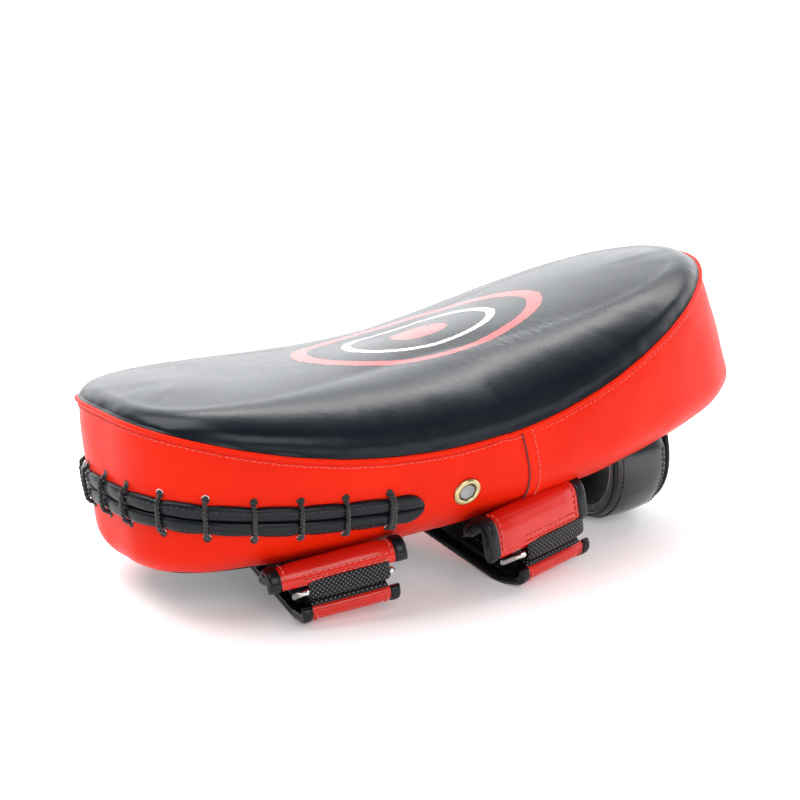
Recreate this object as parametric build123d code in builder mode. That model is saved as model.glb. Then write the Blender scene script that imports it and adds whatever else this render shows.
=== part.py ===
from build123d import *
from math import cos, radians, sin, sqrt
import os

# A curved Thai pad, standing on its forearm straps and grip with the striking face up.
# World frame: +Z up, the floor is Z = 0, +X runs along the pad towards the hand end.
# Pad frame: x along the pad, y across it, w out of the back towards the striking face.
# Lengths are in millimetres and angles in degrees.

# How the pad stands on its straps and grip
LEAN = 7.0            # the hand end stands higher than the elbow end
ROLL = 7.4            # the far long side stands lower than the near one
STAND_AT = (5.5, -4.2, 27.0)   # where the pad frame's origin is in the world

# The padded body
BACK_RADIUS = 980.0   # bend of the back along its length
THICKNESS = 89.5
BACK_FLAT = 40.0      # half width of the flat part of the back
SIDE_LOW = (81.5, 32.0)    # half width and height where the lower corner ends
SIDE_SEAM = (87.8, 55.0)   # half width and height at the seam, half way along
TOP_FLAT = 29.0       # half width of the flat part of the striking face
PLAN_HALF_WIDTH = 88.5
PLAN_LOW, PLAN_HIGH = -15.0, 125.0         # heights between which the outline is drawn
ELBOW_END = dict(side=-1, foot=188.3, slope=0.055, power=3.24)
HAND_END = dict(side=1, foot=195.8, slope=0.222, power=2.11)
END_ANGLE = 14.5      # half of the angle of bend that the body is turned through
COVER = 1.4           # thickness of the vinyl covers
BOARD = 4.0           # thickness of the stiff board behind the foam
FACE_FOAM = 30.0      # thickness of the softer foam under the striking face
FAR_OUT = 140.0       # clear of the body across it and over it
FAR_END = 215.0       # clear of the body at both ends
UNDER_BACK = -20.0    # clear of the body below its back

# Seams
SEAM_DROP_SIDE, SEAM_DROP_END = 34.5, 6.3
BACK_SEAM = 2.0
WELT_STAND, WELT_HALF = 1.2, 1.3
PANEL_JOIN = ((-6.1, 130.0), (35.5, -40.0))  # the slanting join of the two side panels

# Lacing round the elbow end
LACE_TIP_X = -52.0
LACE_HEIGHT_END, LACE_HEIGHT_TIP = 41.5, 27.0
STRIP_HALF, STRIP_STAND = 8.0, 3.2
LACE_HOLE, LACE_HOLE_RADIUS = 11.2, 1.9
LACE_PITCH, CROSSINGS_EACH_WAY = 24.0, 7
CORD_RADIUS, CORD_STAND, CORD_DEPTH, CORD_SLANT = 1.2, 5.4, 4.0, 2.0

# Vent eyelets, one through each long side
EYELET_X, EYELET_RISE = -24.0, 28.3
EYELET_RADIUS, EYELET_HOLE, EYELET_BARREL = 8.0, 4.6, 5.6
EYELET_SINK, EYELET_PROUD, EYELET_DEPTH = 1.4, 1.0, 6.0

# Forearm straps: place along the pad, skew, sideways shift of the ring, height of the ring,
# slope of the wrap strap, and where the wrap strap's sewn root begins on the far side
STRAPS = (
    dict(name="strap_1", x=-90.0, skew=-8.0, shift=5.0, ring=-1.5, slope=0.112, root=38.0),
    dict(name="strap_2", x=0.0, skew=15.0, shift=12.0, ring=-17.5, slope=0.39, root=32.0),
)
ANCHOR_WIDTH, WRAP_WIDTH, TONGUE_WIDTH, WEBBING_WIDTH = 76.0, 54.0, 42.0, 44.0
ANCHOR_THICK, WRAP_THICK, TAIL_THICK, WEBBING_THICK = 6.6, 3.5, 2.5, 1.6
PATCH_THICK, ROOT_PATCH_THICK = 1.0, 2.0
ANCHOR_BINDING, WRAP_BINDING, BINDING_STAND = 8.0, 6.0, 0.8
OUTER_BAR = -74.0                 # place of the ring's outer bar across the pad
BAR_STEP = (16.0, -7.5)           # from the outer bar to the inner bar
WIRE_RADIUS, RING_WIDTH, RING_CORNER = 2.0, 50.0, 4.0
FOLD_START = -56.0                # where the wrap strap's straight run begins
RUN_DROP = 16.5                   # the run's middle plane is this far below the outer bar
ANCHOR_TURN, WRAP_TURN = -75.2, -74.5      # places where the two straps turn to the ring
LOOP_SPAN, HOOK_SPAN = (6, 60), (10, 34)   # where the patches lie along the run
HOOK_GAP = 0.3                    # between the two patches
TAIL_END, TAIL_REACH = 36, 5.45   # the tail's end on the run, its half width round the bar

# Grip across the hand end
GRIP_X, GRIP_WIDTH, GRIP_CENTRE = 111.0, 36.0, 3.8
GRIP_OUTER, GRIP_INNER, GRIP_SKIN = 44.5, 28.5, 2.0
GRIP_ROUNDING, GRIP_CORE_ROUNDING = 5.0, 3.0
GRIP_WEB = 1.6                    # thickness of the webbing inside the grip
PIPING_RADIUS, PIPING_SINK = 1.3, 5.0
TAB_Y, TAB_DEPTH, TAB_THICK = 50.5, 9.0, 1.8

os.makedirs("parts", exist_ok=True)


# ---------------------------------------------------------------- frames
def turned(x, y, w):
    """A direction given along the pad's own axes, in the world."""
    lean, roll = radians(LEAN), radians(-ROLL)
    along = Vector(cos(lean), 0, sin(lean))
    across = Vector(-sin(roll) * sin(lean), cos(roll), sin(roll) * cos(lean))
    return along * x + across * y + along.cross(across) * w


def on_pad(x, y, w):
    """A point given in the pad frame, in the world."""
    return Vector(STAND_AT) + turned(x, y, w)


def back_rise(x):
    """How far the bent back stands over its middle."""
    return BACK_RADIUS - sqrt(BACK_RADIUS**2 - x**2)


back_plane = Plane(on_pad(0, 0, 0), x_dir=turned(1, 0, 0), z_dir=turned(0, 0, 1))
side_plane = Plane(on_pad(0, 0, 0), x_dir=turned(1, 0, 0), z_dir=turned(0, -1, 0))
up = turned(0, 0, 1)
bend_axis = Axis(on_pad(0, 0, BACK_RADIUS), turned(0, -1, 0))


def bent_cross_plane(angle):
    """A cross-section of the bent body, turned by an angle about the bend's axis."""
    turn = radians(angle)
    foot = on_pad(BACK_RADIUS * sin(turn), 0, BACK_RADIUS * (1 - cos(turn)))
    return Plane(foot, x_dir=turned(0, 1, 0), z_dir=turned(cos(turn), 0, sin(turn)))


# ---------------------------------------------------------------- the body's shape
def plan_quarter(end, across, height, inset=0.0):
    """Points of a quarter of the outline, from one end's tip to the middle of a long side."""
    half_length = end["foot"] - end["slope"] * height - inset
    half_width = PLAN_HALF_WIDTH - inset
    turns = [radians(angle) for angle in range(0, 91, 10)]
    return [
        (
            end["side"] * half_length * cos(turn) ** (2 / end["power"]),
            across * half_width * sin(turn) ** (2 / end["power"]),
        )
        for turn in turns
    ]


def plan_block(inset):
    """Everything inside the outline, which grows shorter with height."""
    with BuildPart() as block:
        for height in (PLAN_LOW, PLAN_HIGH):
            with BuildSketch(back_plane.offset(height)):
                with BuildLine():
                    for end in (ELBOW_END, HAND_END):
                        Spline(*plan_quarter(end, -1, height, inset))
                        Spline(*plan_quarter(end, 1, height, inset))
                make_face()
        loft(ruled=True)
    return block.part


def pad_solid(inset):
    """The whole body, drawn in by the given amount on every side."""
    low_reach, low_height = SIDE_LOW
    seam_reach, seam_height = SIDE_SEAM
    bottom, top = inset, THICKNESS - inset
    with BuildPart() as body:
        with BuildSketch(bent_cross_plane(-END_ANGLE)):
            with BuildLine():
                Line((0, bottom), (BACK_FLAT, bottom))
                EllipticalCenterArc(
                    (BACK_FLAT, low_height),
                    low_reach - inset - BACK_FLAT,
                    low_height - bottom,
                    start_angle=270,
                    arc_size=90,
                )
                Line((low_reach - inset, low_height), (seam_reach - inset, seam_height))
                EllipticalCenterArc(
                    (TOP_FLAT, seam_height),
                    seam_reach - inset - TOP_FLAT,
                    top - seam_height,
                    start_angle=0,
                    arc_size=90,
                )
                Line((TOP_FLAT, top), (0, top))
                mirror(about=Plane.YZ)
            make_face()
        revolve(axis=bend_axis, revolution_arc=2 * END_ANGLE)
        add(plan_block(inset), mode=Mode.INTERSECT)
    return body.part


def slab(lower, upper, start=-FAR_END, stop=FAR_END):
    """Everything between two heights over the bent back, given as functions of x."""
    stations = [start + (stop - start) * i / 16 for i in range(17)]
    under = [(x, back_rise(x) + lower(x)) for x in stations]
    over = [(x, back_rise(x) + upper(x)) for x in stations]
    with BuildPart() as layer:
        with BuildSketch(side_plane):
            with BuildLine():
                Spline(*under)
                Spline(*over)
                Line(under[0], over[0])
                Line(under[-1], over[-1])
            make_face()
        extrude(amount=FAR_OUT, both=True)
    return layer.part


def level(height):
    """A constant height, for slab."""
    return lambda x: height


def seam_rise(x):
    """Height of the black and red seam: low half way along, near the top at both ends."""
    end = ELBOW_END if x < 0 else HAND_END
    nearness = min(1, (abs(x) / end["foot"]) ** (0.74 * end["power"]))
    return THICKNESS - SEAM_DROP_SIDE * (1 - nearness) - SEAM_DROP_END * nearness


def finish(piece, name):
    """Label a finished piece and write it."""
    piece.part.label = name
    export_step(piece.part, f"parts/{name}.step")


whole_body = pad_solid(0)
foam_block = pad_solid(COVER)
with BuildPart() as covers:
    add(whole_body)
    add(foam_block, mode=Mode.SUBTRACT)


# ---------------------------------------------------------------- lacing cord
def side_reach(height):
    """Half width of the body at a height over the back, half way along."""
    low_reach, low_height = SIDE_LOW
    seam_reach, seam_height = SIDE_SEAM
    if height < low_height:
        return BACK_FLAT + (low_reach - BACK_FLAT) * sqrt(1 - (1 - height / low_height) ** 2)
    part = (height - low_height) / (seam_height - low_height)
    return low_reach + part * (seam_reach - low_reach)


def lace_rise(x):
    """Height of the middle of the lacing, highest at the elbow end."""
    part = (x + ELBOW_END["foot"]) / (LACE_TIP_X + ELBOW_END["foot"])
    return LACE_HEIGHT_END + part * (LACE_HEIGHT_TIP - LACE_HEIGHT_END)


with BuildLine() as lace_line:
    Spline(*plan_quarter(ELBOW_END, 1, LACE_HEIGHT_END + back_rise(ELBOW_END["foot"])))
elbow_outline = lace_line.edges()[0]


def by_the_lacing(number, lift, stand):
    """A point by one crossing: so far above the lacing's middle line and out of the side panel."""
    across = -1 if number < 0 else 1
    distance = abs(number) * LACE_PITCH
    spot = elbow_outline.position_at(distance, PositionMode.LENGTH)
    run = elbow_outline.tangent_at(distance, PositionMode.LENGTH)
    height = lace_rise(spot.X) + lift
    reach = spot.Y
    outward = (-run.Y, run.X)
    if reach > side_reach(height):
        reach = side_reach(height)
        outward = (0, 1)
    x = spot.X + outward[0] * stand
    y = across * (reach + outward[1] * stand)
    return on_pad(x, y, back_rise(spot.X) + height)


crossings = range(-CROSSINGS_EACH_WAY, CROSSINGS_EACH_WAY + 1)
cord_route = []
inner_lift = LACE_HOLE + CORD_SLANT * 0.4
outer_lift = LACE_HOLE - CORD_SLANT * 0.6
for number in crossings:
    cord_route.append(by_the_lacing(number, inner_lift, -CORD_DEPTH))
    cord_route.append(by_the_lacing(number, outer_lift, CORD_STAND))
    cord_route.append(by_the_lacing(number, 0, CORD_STAND))
    cord_route.append(by_the_lacing(number, -outer_lift, CORD_STAND))
    cord_route.append(by_the_lacing(number, -inner_lift, -CORD_DEPTH))

with BuildPart() as lacing_cord:
    for start, stop in zip(cord_route, cord_route[1:]):
        with BuildSketch(Plane(start, z_dir=stop - start)):
            Circle(CORD_RADIUS)
        extrude(amount=(stop - start).length)
    with Locations(*cord_route):
        Sphere(CORD_RADIUS)
finish(lacing_cord, "lacing_cord")

with BuildPart() as lace_holes:
    for number in crossings:
        for side in (-1, 1):
            mouth = by_the_lacing(number, side * LACE_HOLE, 2)
            depth = by_the_lacing(number, side * LACE_HOLE, -4)
            with BuildSketch(Plane(mouth, z_dir=depth - mouth)):
                Circle(LACE_HOLE_RADIUS)
            extrude(amount=(depth - mouth).length)

# ---------------------------------------------------------------- vent eyelets
low_ratio = (1 - EYELET_RISE / SIDE_LOW[1]) * SIDE_LOW[1] / (SIDE_LOW[0] - BACK_FLAT)
eyelet_planes = []
for side in (-1, 1):
    outward = Vector(0, side, -low_ratio).normalized()
    face = on_pad(EYELET_X, side * side_reach(EYELET_RISE), EYELET_RISE)
    eyelet_planes.append(Plane(face, x_dir=turned(1, 0, 0), z_dir=turned(0, outward.Y, outward.Z)))

with BuildPart() as vent_eyelets:
    for plane in eyelet_planes:
        with BuildSketch(plane.offset(-EYELET_SINK)):
            Circle(EYELET_RADIUS)
            Circle(EYELET_HOLE, mode=Mode.SUBTRACT)
        extrude(amount=EYELET_SINK + EYELET_PROUD)
        with BuildSketch(plane.offset(-EYELET_DEPTH)):
            Circle(EYELET_BARREL)
            Circle(EYELET_HOLE, mode=Mode.SUBTRACT)
        extrude(amount=EYELET_DEPTH)
finish(vent_eyelets, "vent_eyelets")

with BuildPart() as vent_washers:
    for plane in eyelet_planes:
        with BuildSketch(plane.offset(-EYELET_DEPTH + 0.8)):
            Circle(EYELET_RADIUS)
            Circle(EYELET_BARREL, mode=Mode.SUBTRACT)
        extrude(amount=1.2)
finish(vent_washers, "vent_washers")

with BuildPart() as vent_screens:
    for plane in eyelet_planes:
        with BuildSketch(plane.offset(-2.4)):
            Circle(EYELET_HOLE)
        extrude(amount=0.5)
finish(vent_screens, "vent_screens")

with BuildPart() as eyelet_pockets:
    for plane in eyelet_planes:
        with BuildSketch(plane.offset(-EYELET_DEPTH - 1)):
            Circle(EYELET_RADIUS + 1)
        extrude(amount=EYELET_DEPTH + 2)

with BuildPart() as eyelet_seats:
    for plane in eyelet_planes:
        with BuildSketch(plane.offset(-EYELET_SINK)):
            Circle(EYELET_RADIUS)
        extrude(amount=8)
        with BuildSketch(plane.offset(-EYELET_DEPTH)):
            Circle(EYELET_BARREL)
        extrude(amount=EYELET_DEPTH)

# ---------------------------------------------------------------- foam and board
board_top = COVER + BOARD
foam_split = THICKNESS - FACE_FOAM

with BuildPart() as back_board:
    add(foam_block)
    add(slab(level(UNDER_BACK), level(board_top)), mode=Mode.INTERSECT)
finish(back_board, "back_board")

with BuildPart() as core_foam:
    add(foam_block)
    add(slab(level(board_top), level(foam_split)), mode=Mode.INTERSECT)
    add(eyelet_pockets.part, mode=Mode.SUBTRACT)
finish(core_foam, "core_foam")

with BuildPart() as strike_foam:
    add(foam_block)
    add(slab(level(foam_split), level(FAR_OUT)), mode=Mode.INTERSECT)
finish(strike_foam, "strike_foam")

# ---------------------------------------------------------------- covers
with BuildPart() as strike_cover:
    add(covers.part)
    add(slab(seam_rise, level(FAR_OUT)), mode=Mode.INTERSECT)
finish(strike_cover, "strike_cover")

with BuildPart() as back_cover:
    add(covers.part)
    add(slab(level(UNDER_BACK), level(BACK_SEAM)), mode=Mode.INTERSECT)
finish(back_cover, "back_cover")


def beside_the_join(side):
    """Everything on one side of the slanting join of the side panels."""
    join_top, join_foot = PANEL_JOIN
    far_top, far_foot = (side * FAR_END, join_top[1]), (side * FAR_END, join_foot[1])
    with BuildPart() as block:
        with BuildSketch(side_plane):
            with BuildLine():
                Polyline(far_top, join_top, join_foot, far_foot, close=True)
            make_face()
        extrude(amount=FAR_OUT, both=True)
    return block.part


for name, side in (("side_panel_elbow", -1), ("side_panel_hand", 1)):
    with BuildPart() as side_panel:
        add(covers.part)
        add(slab(level(BACK_SEAM), seam_rise), mode=Mode.INTERSECT)
        add(beside_the_join(side), mode=Mode.INTERSECT)
        if side < 0:
            add(lace_holes.part, mode=Mode.SUBTRACT)
            add(eyelet_seats.part, mode=Mode.SUBTRACT)
    finish(side_panel, name)


def raised_rib(lower, upper, stand, start, stop):
    """A rib that stands out of the body's side between two heights."""
    with BuildPart() as rib:
        add(pad_solid(-stand))
        add(whole_body, mode=Mode.SUBTRACT)
        add(slab(lower, upper, start, stop), mode=Mode.INTERSECT)
    return rib


def moved(height_at, step):
    """A height function raised by a step."""
    return lambda x: height_at(x) + step


welt_low, welt_high = moved(seam_rise, -WELT_HALF), moved(seam_rise, WELT_HALF)
seam_welt = raised_rib(welt_low, welt_high, WELT_STAND, -FAR_END, FAR_END)
finish(seam_welt, "seam_welt")

strip_high, strip_low = moved(lace_rise, STRIP_HALF), moved(lace_rise, -STRIP_HALF)
strip_upper = raised_rib(lace_rise, strip_high, STRIP_STAND, -FAR_END, LACE_TIP_X)
finish(strip_upper, "lace_strip_upper")
strip_lower = raised_rib(strip_low, lace_rise, STRIP_STAND, -FAR_END, LACE_TIP_X)
finish(strip_lower, "lace_strip_lower")


# ---------------------------------------------------------------- forearm straps
def strap_plane(strap, shift=0.0, width_place=0.0):
    """Cross-section of a strap: across the pad and out of it, at a place along the strap's width."""
    skew = radians(strap["skew"])
    along = shift + width_place
    foot = on_pad(strap["x"] + along * cos(skew), along * sin(skew), 0)
    return Plane(foot, x_dir=turned(-sin(skew), cos(skew), 0), z_dir=turned(cos(skew), sin(skew), 0))


def bent_band(strap, shift, points, radii, thick, low, high):
    """A flat band of one thickness that follows a filleted path, from low to high in its width."""
    with BuildPart() as band:
        with BuildSketch(strap_plane(strap, shift, low)):
            with BuildLine():
                FilletPolyline(*points, radius=radii)
            trace(line_width=thick)
        extrude(amount=high - low)
    return band.part


def on_run(strap, distance, height):
    """A point over the wrap strap's straight run, measured from its near end."""
    length = sqrt(1 + strap["slope"] ** 2)
    run, rise = 1 / length, strap["slope"] / length
    return (
        FOLD_START + distance * run - height * rise,
        strap["ring"] - RUN_DROP + distance * rise + height * run,
    )


clear_of_patches = pad_solid(-ROOT_PATCH_THICK)

for strap in STRAPS:
    name, ring, shift = strap["name"], strap["ring"], strap["shift"]
    surface = back_rise(strap["x"])
    inner_bar = (OUTER_BAR + BAR_STEP[0], ring + BAR_STEP[1])
    edge = ANCHOR_WIDTH / 2

    anchor_foot = (ANCHOR_TURN, ring + 5)
    anchor_path = ((-34, surface - 4), (-50, surface - 4), (ANCHOR_TURN, surface + 8), anchor_foot)
    anchor_radii = (12, 5)
    with BuildPart() as anchor:
        add(bent_band(strap, 0, anchor_path, anchor_radii, ANCHOR_THICK, 1 - edge, edge - 1))
        add(clear_of_patches, mode=Mode.SUBTRACT)
    finish(anchor, f"{name}_anchor")

    with BuildPart() as anchor_binding:
        for low, high in ((-edge, ANCHOR_BINDING - edge), (edge - ANCHOR_BINDING, edge)):
            thick = ANCHOR_THICK + 2 * BINDING_STAND
            add(bent_band(strap, 0, anchor_path, anchor_radii, thick, low, high))
        add(clear_of_patches, mode=Mode.SUBTRACT)
        add(anchor.part, mode=Mode.SUBTRACT)
    finish(anchor_binding, f"{name}_anchor_binding")

    # The webbing is sewn to the anchor's lower edge and passes round the ring's outer bar.
    half_web = WEBBING_WIDTH / 2
    with BuildPart() as webbing:
        with BuildSketch(strap_plane(strap, shift, -half_web)):
            with BuildLine():
                Line((-76.8, ring + 5), (-77.2, ring))
                ThreePointArc((-77.2, ring), (OUTER_BAR, ring - 3.2), (-70.8, ring))
                Line((-70.8, ring), (-72.6, ring + 5))
            trace(line_width=WEBBING_THICK)
        extrude(amount=WEBBING_WIDTH)
        add(anchor.part, mode=Mode.SUBTRACT)
        add(anchor_binding.part, mode=Mode.SUBTRACT)
    finish(webbing, f"{name}_webbing")

    # The wire ring, flat in the plane of its two bars.
    skew = radians(strap["skew"])
    bar_gap = sqrt(BAR_STEP[0] ** 2 + BAR_STEP[1] ** 2)
    step = strap_plane(strap).x_dir * (BAR_STEP[0] / bar_gap) + up * (BAR_STEP[1] / bar_gap)
    bar_way = strap_plane(strap).z_dir
    outer_middle = strap_plane(strap, shift).from_local_coords((OUTER_BAR, ring, 0))
    half_ring = RING_WIDTH / 2
    corners = [(-half_ring, 0), (half_ring, 0), (half_ring, bar_gap), (-half_ring, bar_gap)]
    ring_plane = Plane(outer_middle, x_dir=bar_way, z_dir=bar_way.cross(step))
    with BuildPart() as wire_ring:
        with BuildLine(ring_plane) as loop:
            FilletPolyline(*corners, radius=RING_CORNER, close=True)
        with BuildSketch(Plane(loop.line @ 0, z_dir=loop.line % 0)):
            Circle(WIRE_RADIUS)
        sweep()
    finish(wire_ring, f"{name}_ring")

    # The wrap strap: sewn at the far side, along under the forearm gap, and up to the ring.
    root = strap["root"]
    climb = on_run(strap, (root - 8 - FOLD_START) * sqrt(1 + strap["slope"] ** 2), 0)
    wrap_path = (
        (root + 18, surface - 3),
        (root, surface - 3),
        climb,
        on_run(strap, 0, 0),
        (WRAP_TURN, ring - RUN_DROP + 1.5),
        (WRAP_TURN, ring - 8),
    )
    wrap_radii = (3, 6, 12, 6)
    half_wrap = WRAP_WIDTH / 2
    with BuildPart() as wrap:
        add(bent_band(strap, shift, wrap_path, wrap_radii, WRAP_THICK, 1 - half_wrap, half_wrap - 1))
        half_tongue = TONGUE_WIDTH / 2
        tongue_path = ((WRAP_TURN, ring - 9), (WRAP_TURN + 1.1, ring - 7), (-66, ring - 3.5))
        add(bent_band(strap, shift, tongue_path, 1.5, TAIL_THICK, -half_tongue, half_tongue))
        add(clear_of_patches, mode=Mode.SUBTRACT)
        split(bisect_by=Plane.XY, keep=Keep.TOP)
    finish(wrap, f"{name}_wrap")

    with BuildPart() as wrap_binding:
        for low, high in ((-half_wrap, WRAP_BINDING - half_wrap), (half_wrap - WRAP_BINDING, half_wrap)):
            thick = WRAP_THICK + 2 * BINDING_STAND
            add(bent_band(strap, shift, wrap_path, wrap_radii, thick, low, high))
        add(clear_of_patches, mode=Mode.SUBTRACT)
        add(wrap.part, mode=Mode.SUBTRACT)
        split(bisect_by=Plane.XY, keep=Keep.TOP)
    finish(wrap_binding, f"{name}_wrap_binding")

    # Loop patch on the wrap, hook patch under the tail: together they hold the tail down.
    patch_height = WRAP_THICK / 2 + PATCH_THICK / 2
    half_patch = half_wrap - WRAP_BINDING
    patch_path = [on_run(strap, distance, patch_height) for distance in LOOP_SPAN]
    with BuildPart() as loop_patch:
        with BuildSketch(strap_plane(strap, shift, -half_patch)):
            with BuildLine():
                Line(*patch_path)
            trace(line_width=PATCH_THICK)
        extrude(amount=2 * half_patch)
    finish(loop_patch, f"{name}_loop_patch")

    hook_height = patch_height + PATCH_THICK + HOOK_GAP
    hook_path = [on_run(strap, distance, hook_height) for distance in HOOK_SPAN]
    with BuildPart() as hook_patch:
        with BuildSketch(strap_plane(strap, shift, -half_tongue)):
            with BuildLine():
                Line(*hook_path)
            trace(line_width=PATCH_THICK)
        extrude(amount=TONGUE_WIDTH)
    finish(hook_patch, f"{name}_hook_patch")

    # The tail folds over the ring's inner bar and lies along the wrap.
    tail_height = hook_height + PATCH_THICK / 2 + TAIL_THICK / 2
    left, right = inner_bar[0] - TAIL_REACH, inner_bar[0] + TAIL_REACH
    crest = inner_bar[1] + TAIL_REACH
    foot = on_run(strap, 0, tail_height)
    foot_height = foot[1] + (right - foot[0]) * strap["slope"]
    tail_path = (
        (left, inner_bar[1] - 3),
        (left, crest),
        (right, crest),
        (right, foot_height),
        on_run(strap, TAIL_END, tail_height),
    )
    with BuildPart() as tail:
        add(bent_band(strap, shift, tail_path, (5.3, 5.3, 1.3), TAIL_THICK, -half_tongue, half_tongue))
    finish(tail, f"{name}_tail")

# Reinforcing patches sewn over the roots of the straps.
with BuildPart() as root_patches:
    for strap in STRAPS:
        for shift, width, start, stop in (
            (0, ANCHOR_WIDTH + 6, -46, -30),
            (strap["shift"], WRAP_WIDTH + 8, strap["root"] - 6, 44),
        ):
            base = strap_plane(strap, shift)
            flat = Plane(base.origin, x_dir=base.z_dir, z_dir=up)
            with BuildSketch(flat.offset(-30)):
                with Locations((0, (start + stop) / 2)):
                    Rectangle(width, stop - start)
            extrude(amount=80)
    add(clear_of_patches, mode=Mode.INTERSECT)
    add(whole_body, mode=Mode.SUBTRACT)
finish(root_patches, "strap_root_patches")


# ---------------------------------------------------------------- grip
def grip_plane(x):
    """Cross-section of the grip at a place along the pad, centred on its arch."""
    return Plane(on_pad(x, 0, GRIP_CENTRE), x_dir=turned(0, 1, 0), z_dir=turned(1, 0, 0))


def grip_arch(outer, inner, width, rounding=0.0):
    """Half a ring that bridges the back, cut off where it meets the back."""
    with BuildPart() as arch:
        with BuildSketch(grip_plane(GRIP_X - width / 2)):
            Circle(outer)
            Circle(inner, mode=Mode.SUBTRACT)
        extrude(amount=width)
        if rounding:
            rims = arch.edges().filter_by(GeomType.CIRCLE)
            fillet([rim for rim in rims if rim.radius > (outer + inner) / 2], radius=rounding)
        add(whole_body, mode=Mode.SUBTRACT)
        split(bisect_by=Plane.XY, keep=Keep.TOP)
    return arch.part


grip_middle = (GRIP_OUTER + GRIP_INNER) / 2
core_outer, core_inner = GRIP_OUTER - GRIP_SKIN, GRIP_INNER + GRIP_SKIN
core_arch = grip_arch(core_outer, core_inner, GRIP_WIDTH - 2 * GRIP_SKIN, GRIP_CORE_ROUNDING)
with BuildPart() as grip_webbing:
    add(grip_arch(grip_middle + GRIP_WEB / 2, grip_middle - GRIP_WEB / 2, GRIP_WIDTH - 8))
finish(grip_webbing, "grip_webbing")

with BuildPart() as grip_core:
    add(core_arch)
    add(grip_webbing.part, mode=Mode.SUBTRACT)
finish(grip_core, "grip_core")

with BuildPart() as grip_cover:
    add(grip_arch(GRIP_OUTER, GRIP_INNER, GRIP_WIDTH, GRIP_ROUNDING))
    add(core_arch, mode=Mode.SUBTRACT)
finish(grip_cover, "grip_cover")

with BuildPart() as grip_piping:
    for side in (-1, 1):
        plane = grip_plane(GRIP_X + side * (GRIP_WIDTH / 2))
        foot = plane.from_local_coords((GRIP_OUTER - PIPING_SINK, 0, 0))
        with BuildSketch(Plane(foot, x_dir=plane.x_dir, z_dir=up)):
            Circle(PIPING_RADIUS)
        revolve(axis=Axis(plane.origin, plane.z_dir), revolution_arc=360)
    add(whole_body, mode=Mode.SUBTRACT)
    add(grip_cover.part, mode=Mode.SUBTRACT)
    split(bisect_by=Plane.XY, keep=Keep.TOP)
finish(grip_piping, "grip_piping")

with BuildPart() as grip_tabs:
    for side in (-1, 1):
        with BuildSketch(back_plane.offset(-30)):
            with Locations((GRIP_X, side * TAB_Y)):
                RectangleRounded(GRIP_WIDTH - TAB_DEPTH, TAB_DEPTH, 2)
        extrude(amount=60)
    add(pad_solid(-TAB_THICK), mode=Mode.INTERSECT)
    add(whole_body, mode=Mode.SUBTRACT)
finish(grip_tabs, "grip_tabs")
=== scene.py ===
import math

import bmesh
import bpy
import numpy as np
from mathutils import Matrix, Vector, noise

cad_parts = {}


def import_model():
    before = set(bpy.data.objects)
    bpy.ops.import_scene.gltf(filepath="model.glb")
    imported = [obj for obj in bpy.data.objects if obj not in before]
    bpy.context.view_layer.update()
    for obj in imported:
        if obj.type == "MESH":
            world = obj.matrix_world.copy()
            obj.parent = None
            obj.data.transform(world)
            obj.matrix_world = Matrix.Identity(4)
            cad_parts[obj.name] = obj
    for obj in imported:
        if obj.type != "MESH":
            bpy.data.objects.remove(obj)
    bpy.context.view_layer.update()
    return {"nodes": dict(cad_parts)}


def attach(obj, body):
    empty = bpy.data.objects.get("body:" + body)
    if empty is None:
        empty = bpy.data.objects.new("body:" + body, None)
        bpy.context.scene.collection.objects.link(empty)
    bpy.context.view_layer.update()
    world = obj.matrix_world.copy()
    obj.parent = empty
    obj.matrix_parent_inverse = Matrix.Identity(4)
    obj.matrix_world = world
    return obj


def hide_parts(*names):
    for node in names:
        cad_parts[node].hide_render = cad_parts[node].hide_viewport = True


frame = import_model()

# ---------------------------------------------------------------- frames, lengths in mm
LEAN, ROLL = math.radians(7.0), math.radians(-7.4)
STAND_AT = np.array((5.5, -4.2, 27.0))
ALONG = np.array((math.cos(LEAN), 0.0, math.sin(LEAN)))
ACROSS = np.array((-math.sin(ROLL) * math.sin(LEAN), math.cos(ROLL), math.sin(ROLL) * math.cos(LEAN)))
PAD_TO_WORLD = np.array((ALONG, ACROSS, np.cross(ALONG, ACROSS)))
BACK_RADIUS = 980.0
FLOOR_GAP = 0.05


def world(points):
    """Pad-frame points in millimetres, as world points in metres."""
    return (STAND_AT + np.asarray(points, float) @ PAD_TO_WORLD) / 1000


def standing(points):
    """World points of pad-frame points, flattened where they would sink into the floor."""
    points = world(points)
    points[:, 2] = np.maximum(points[:, 2], FLOOR_GAP / 1000)
    return points


def back_rise(x):
    """How far the bent back stands over its middle."""
    return BACK_RADIUS - np.sqrt(BACK_RADIUS**2 - x**2)


# ---------------------------------------------------------------- small mesh tools
def mesh_object(name, points, faces, material, body="pad", closed=True, attributes=None):
    """A mesh piece in world metres that rides on a CAD body."""
    mesh = bpy.data.meshes.new(name)
    mesh.from_pydata([tuple(p) for p in points], [], faces)
    for key, values in (attributes or {}).items():
        layer = mesh.attributes.new(key, "FLOAT_VECTOR", "POINT")
        layer.data.foreach_set("vector", np.asarray(values, np.float32).ravel())
    mesh.materials.append(material)
    if closed:
        form = bmesh.new()
        form.from_mesh(mesh)
        bmesh.ops.recalc_face_normals(form, faces=form.faces)
        form.to_mesh(mesh)
        form.free()
    mesh.shade_smooth()
    piece = bpy.data.objects.new(name, mesh)
    bpy.context.collection.objects.link(piece)
    if body:
        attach(piece, body)
    return piece


def add_piece(name, parts, material, nodes=(), body="pad", attributes=None):
    """A closed piece from points and faces in pad millimetres, which stands in for CAD nodes."""
    points, faces = parts
    piece = mesh_object(name, standing(points), faces, material, body, attributes=attributes)
    if nodes:
        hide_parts(*nodes)
    return piece


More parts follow.
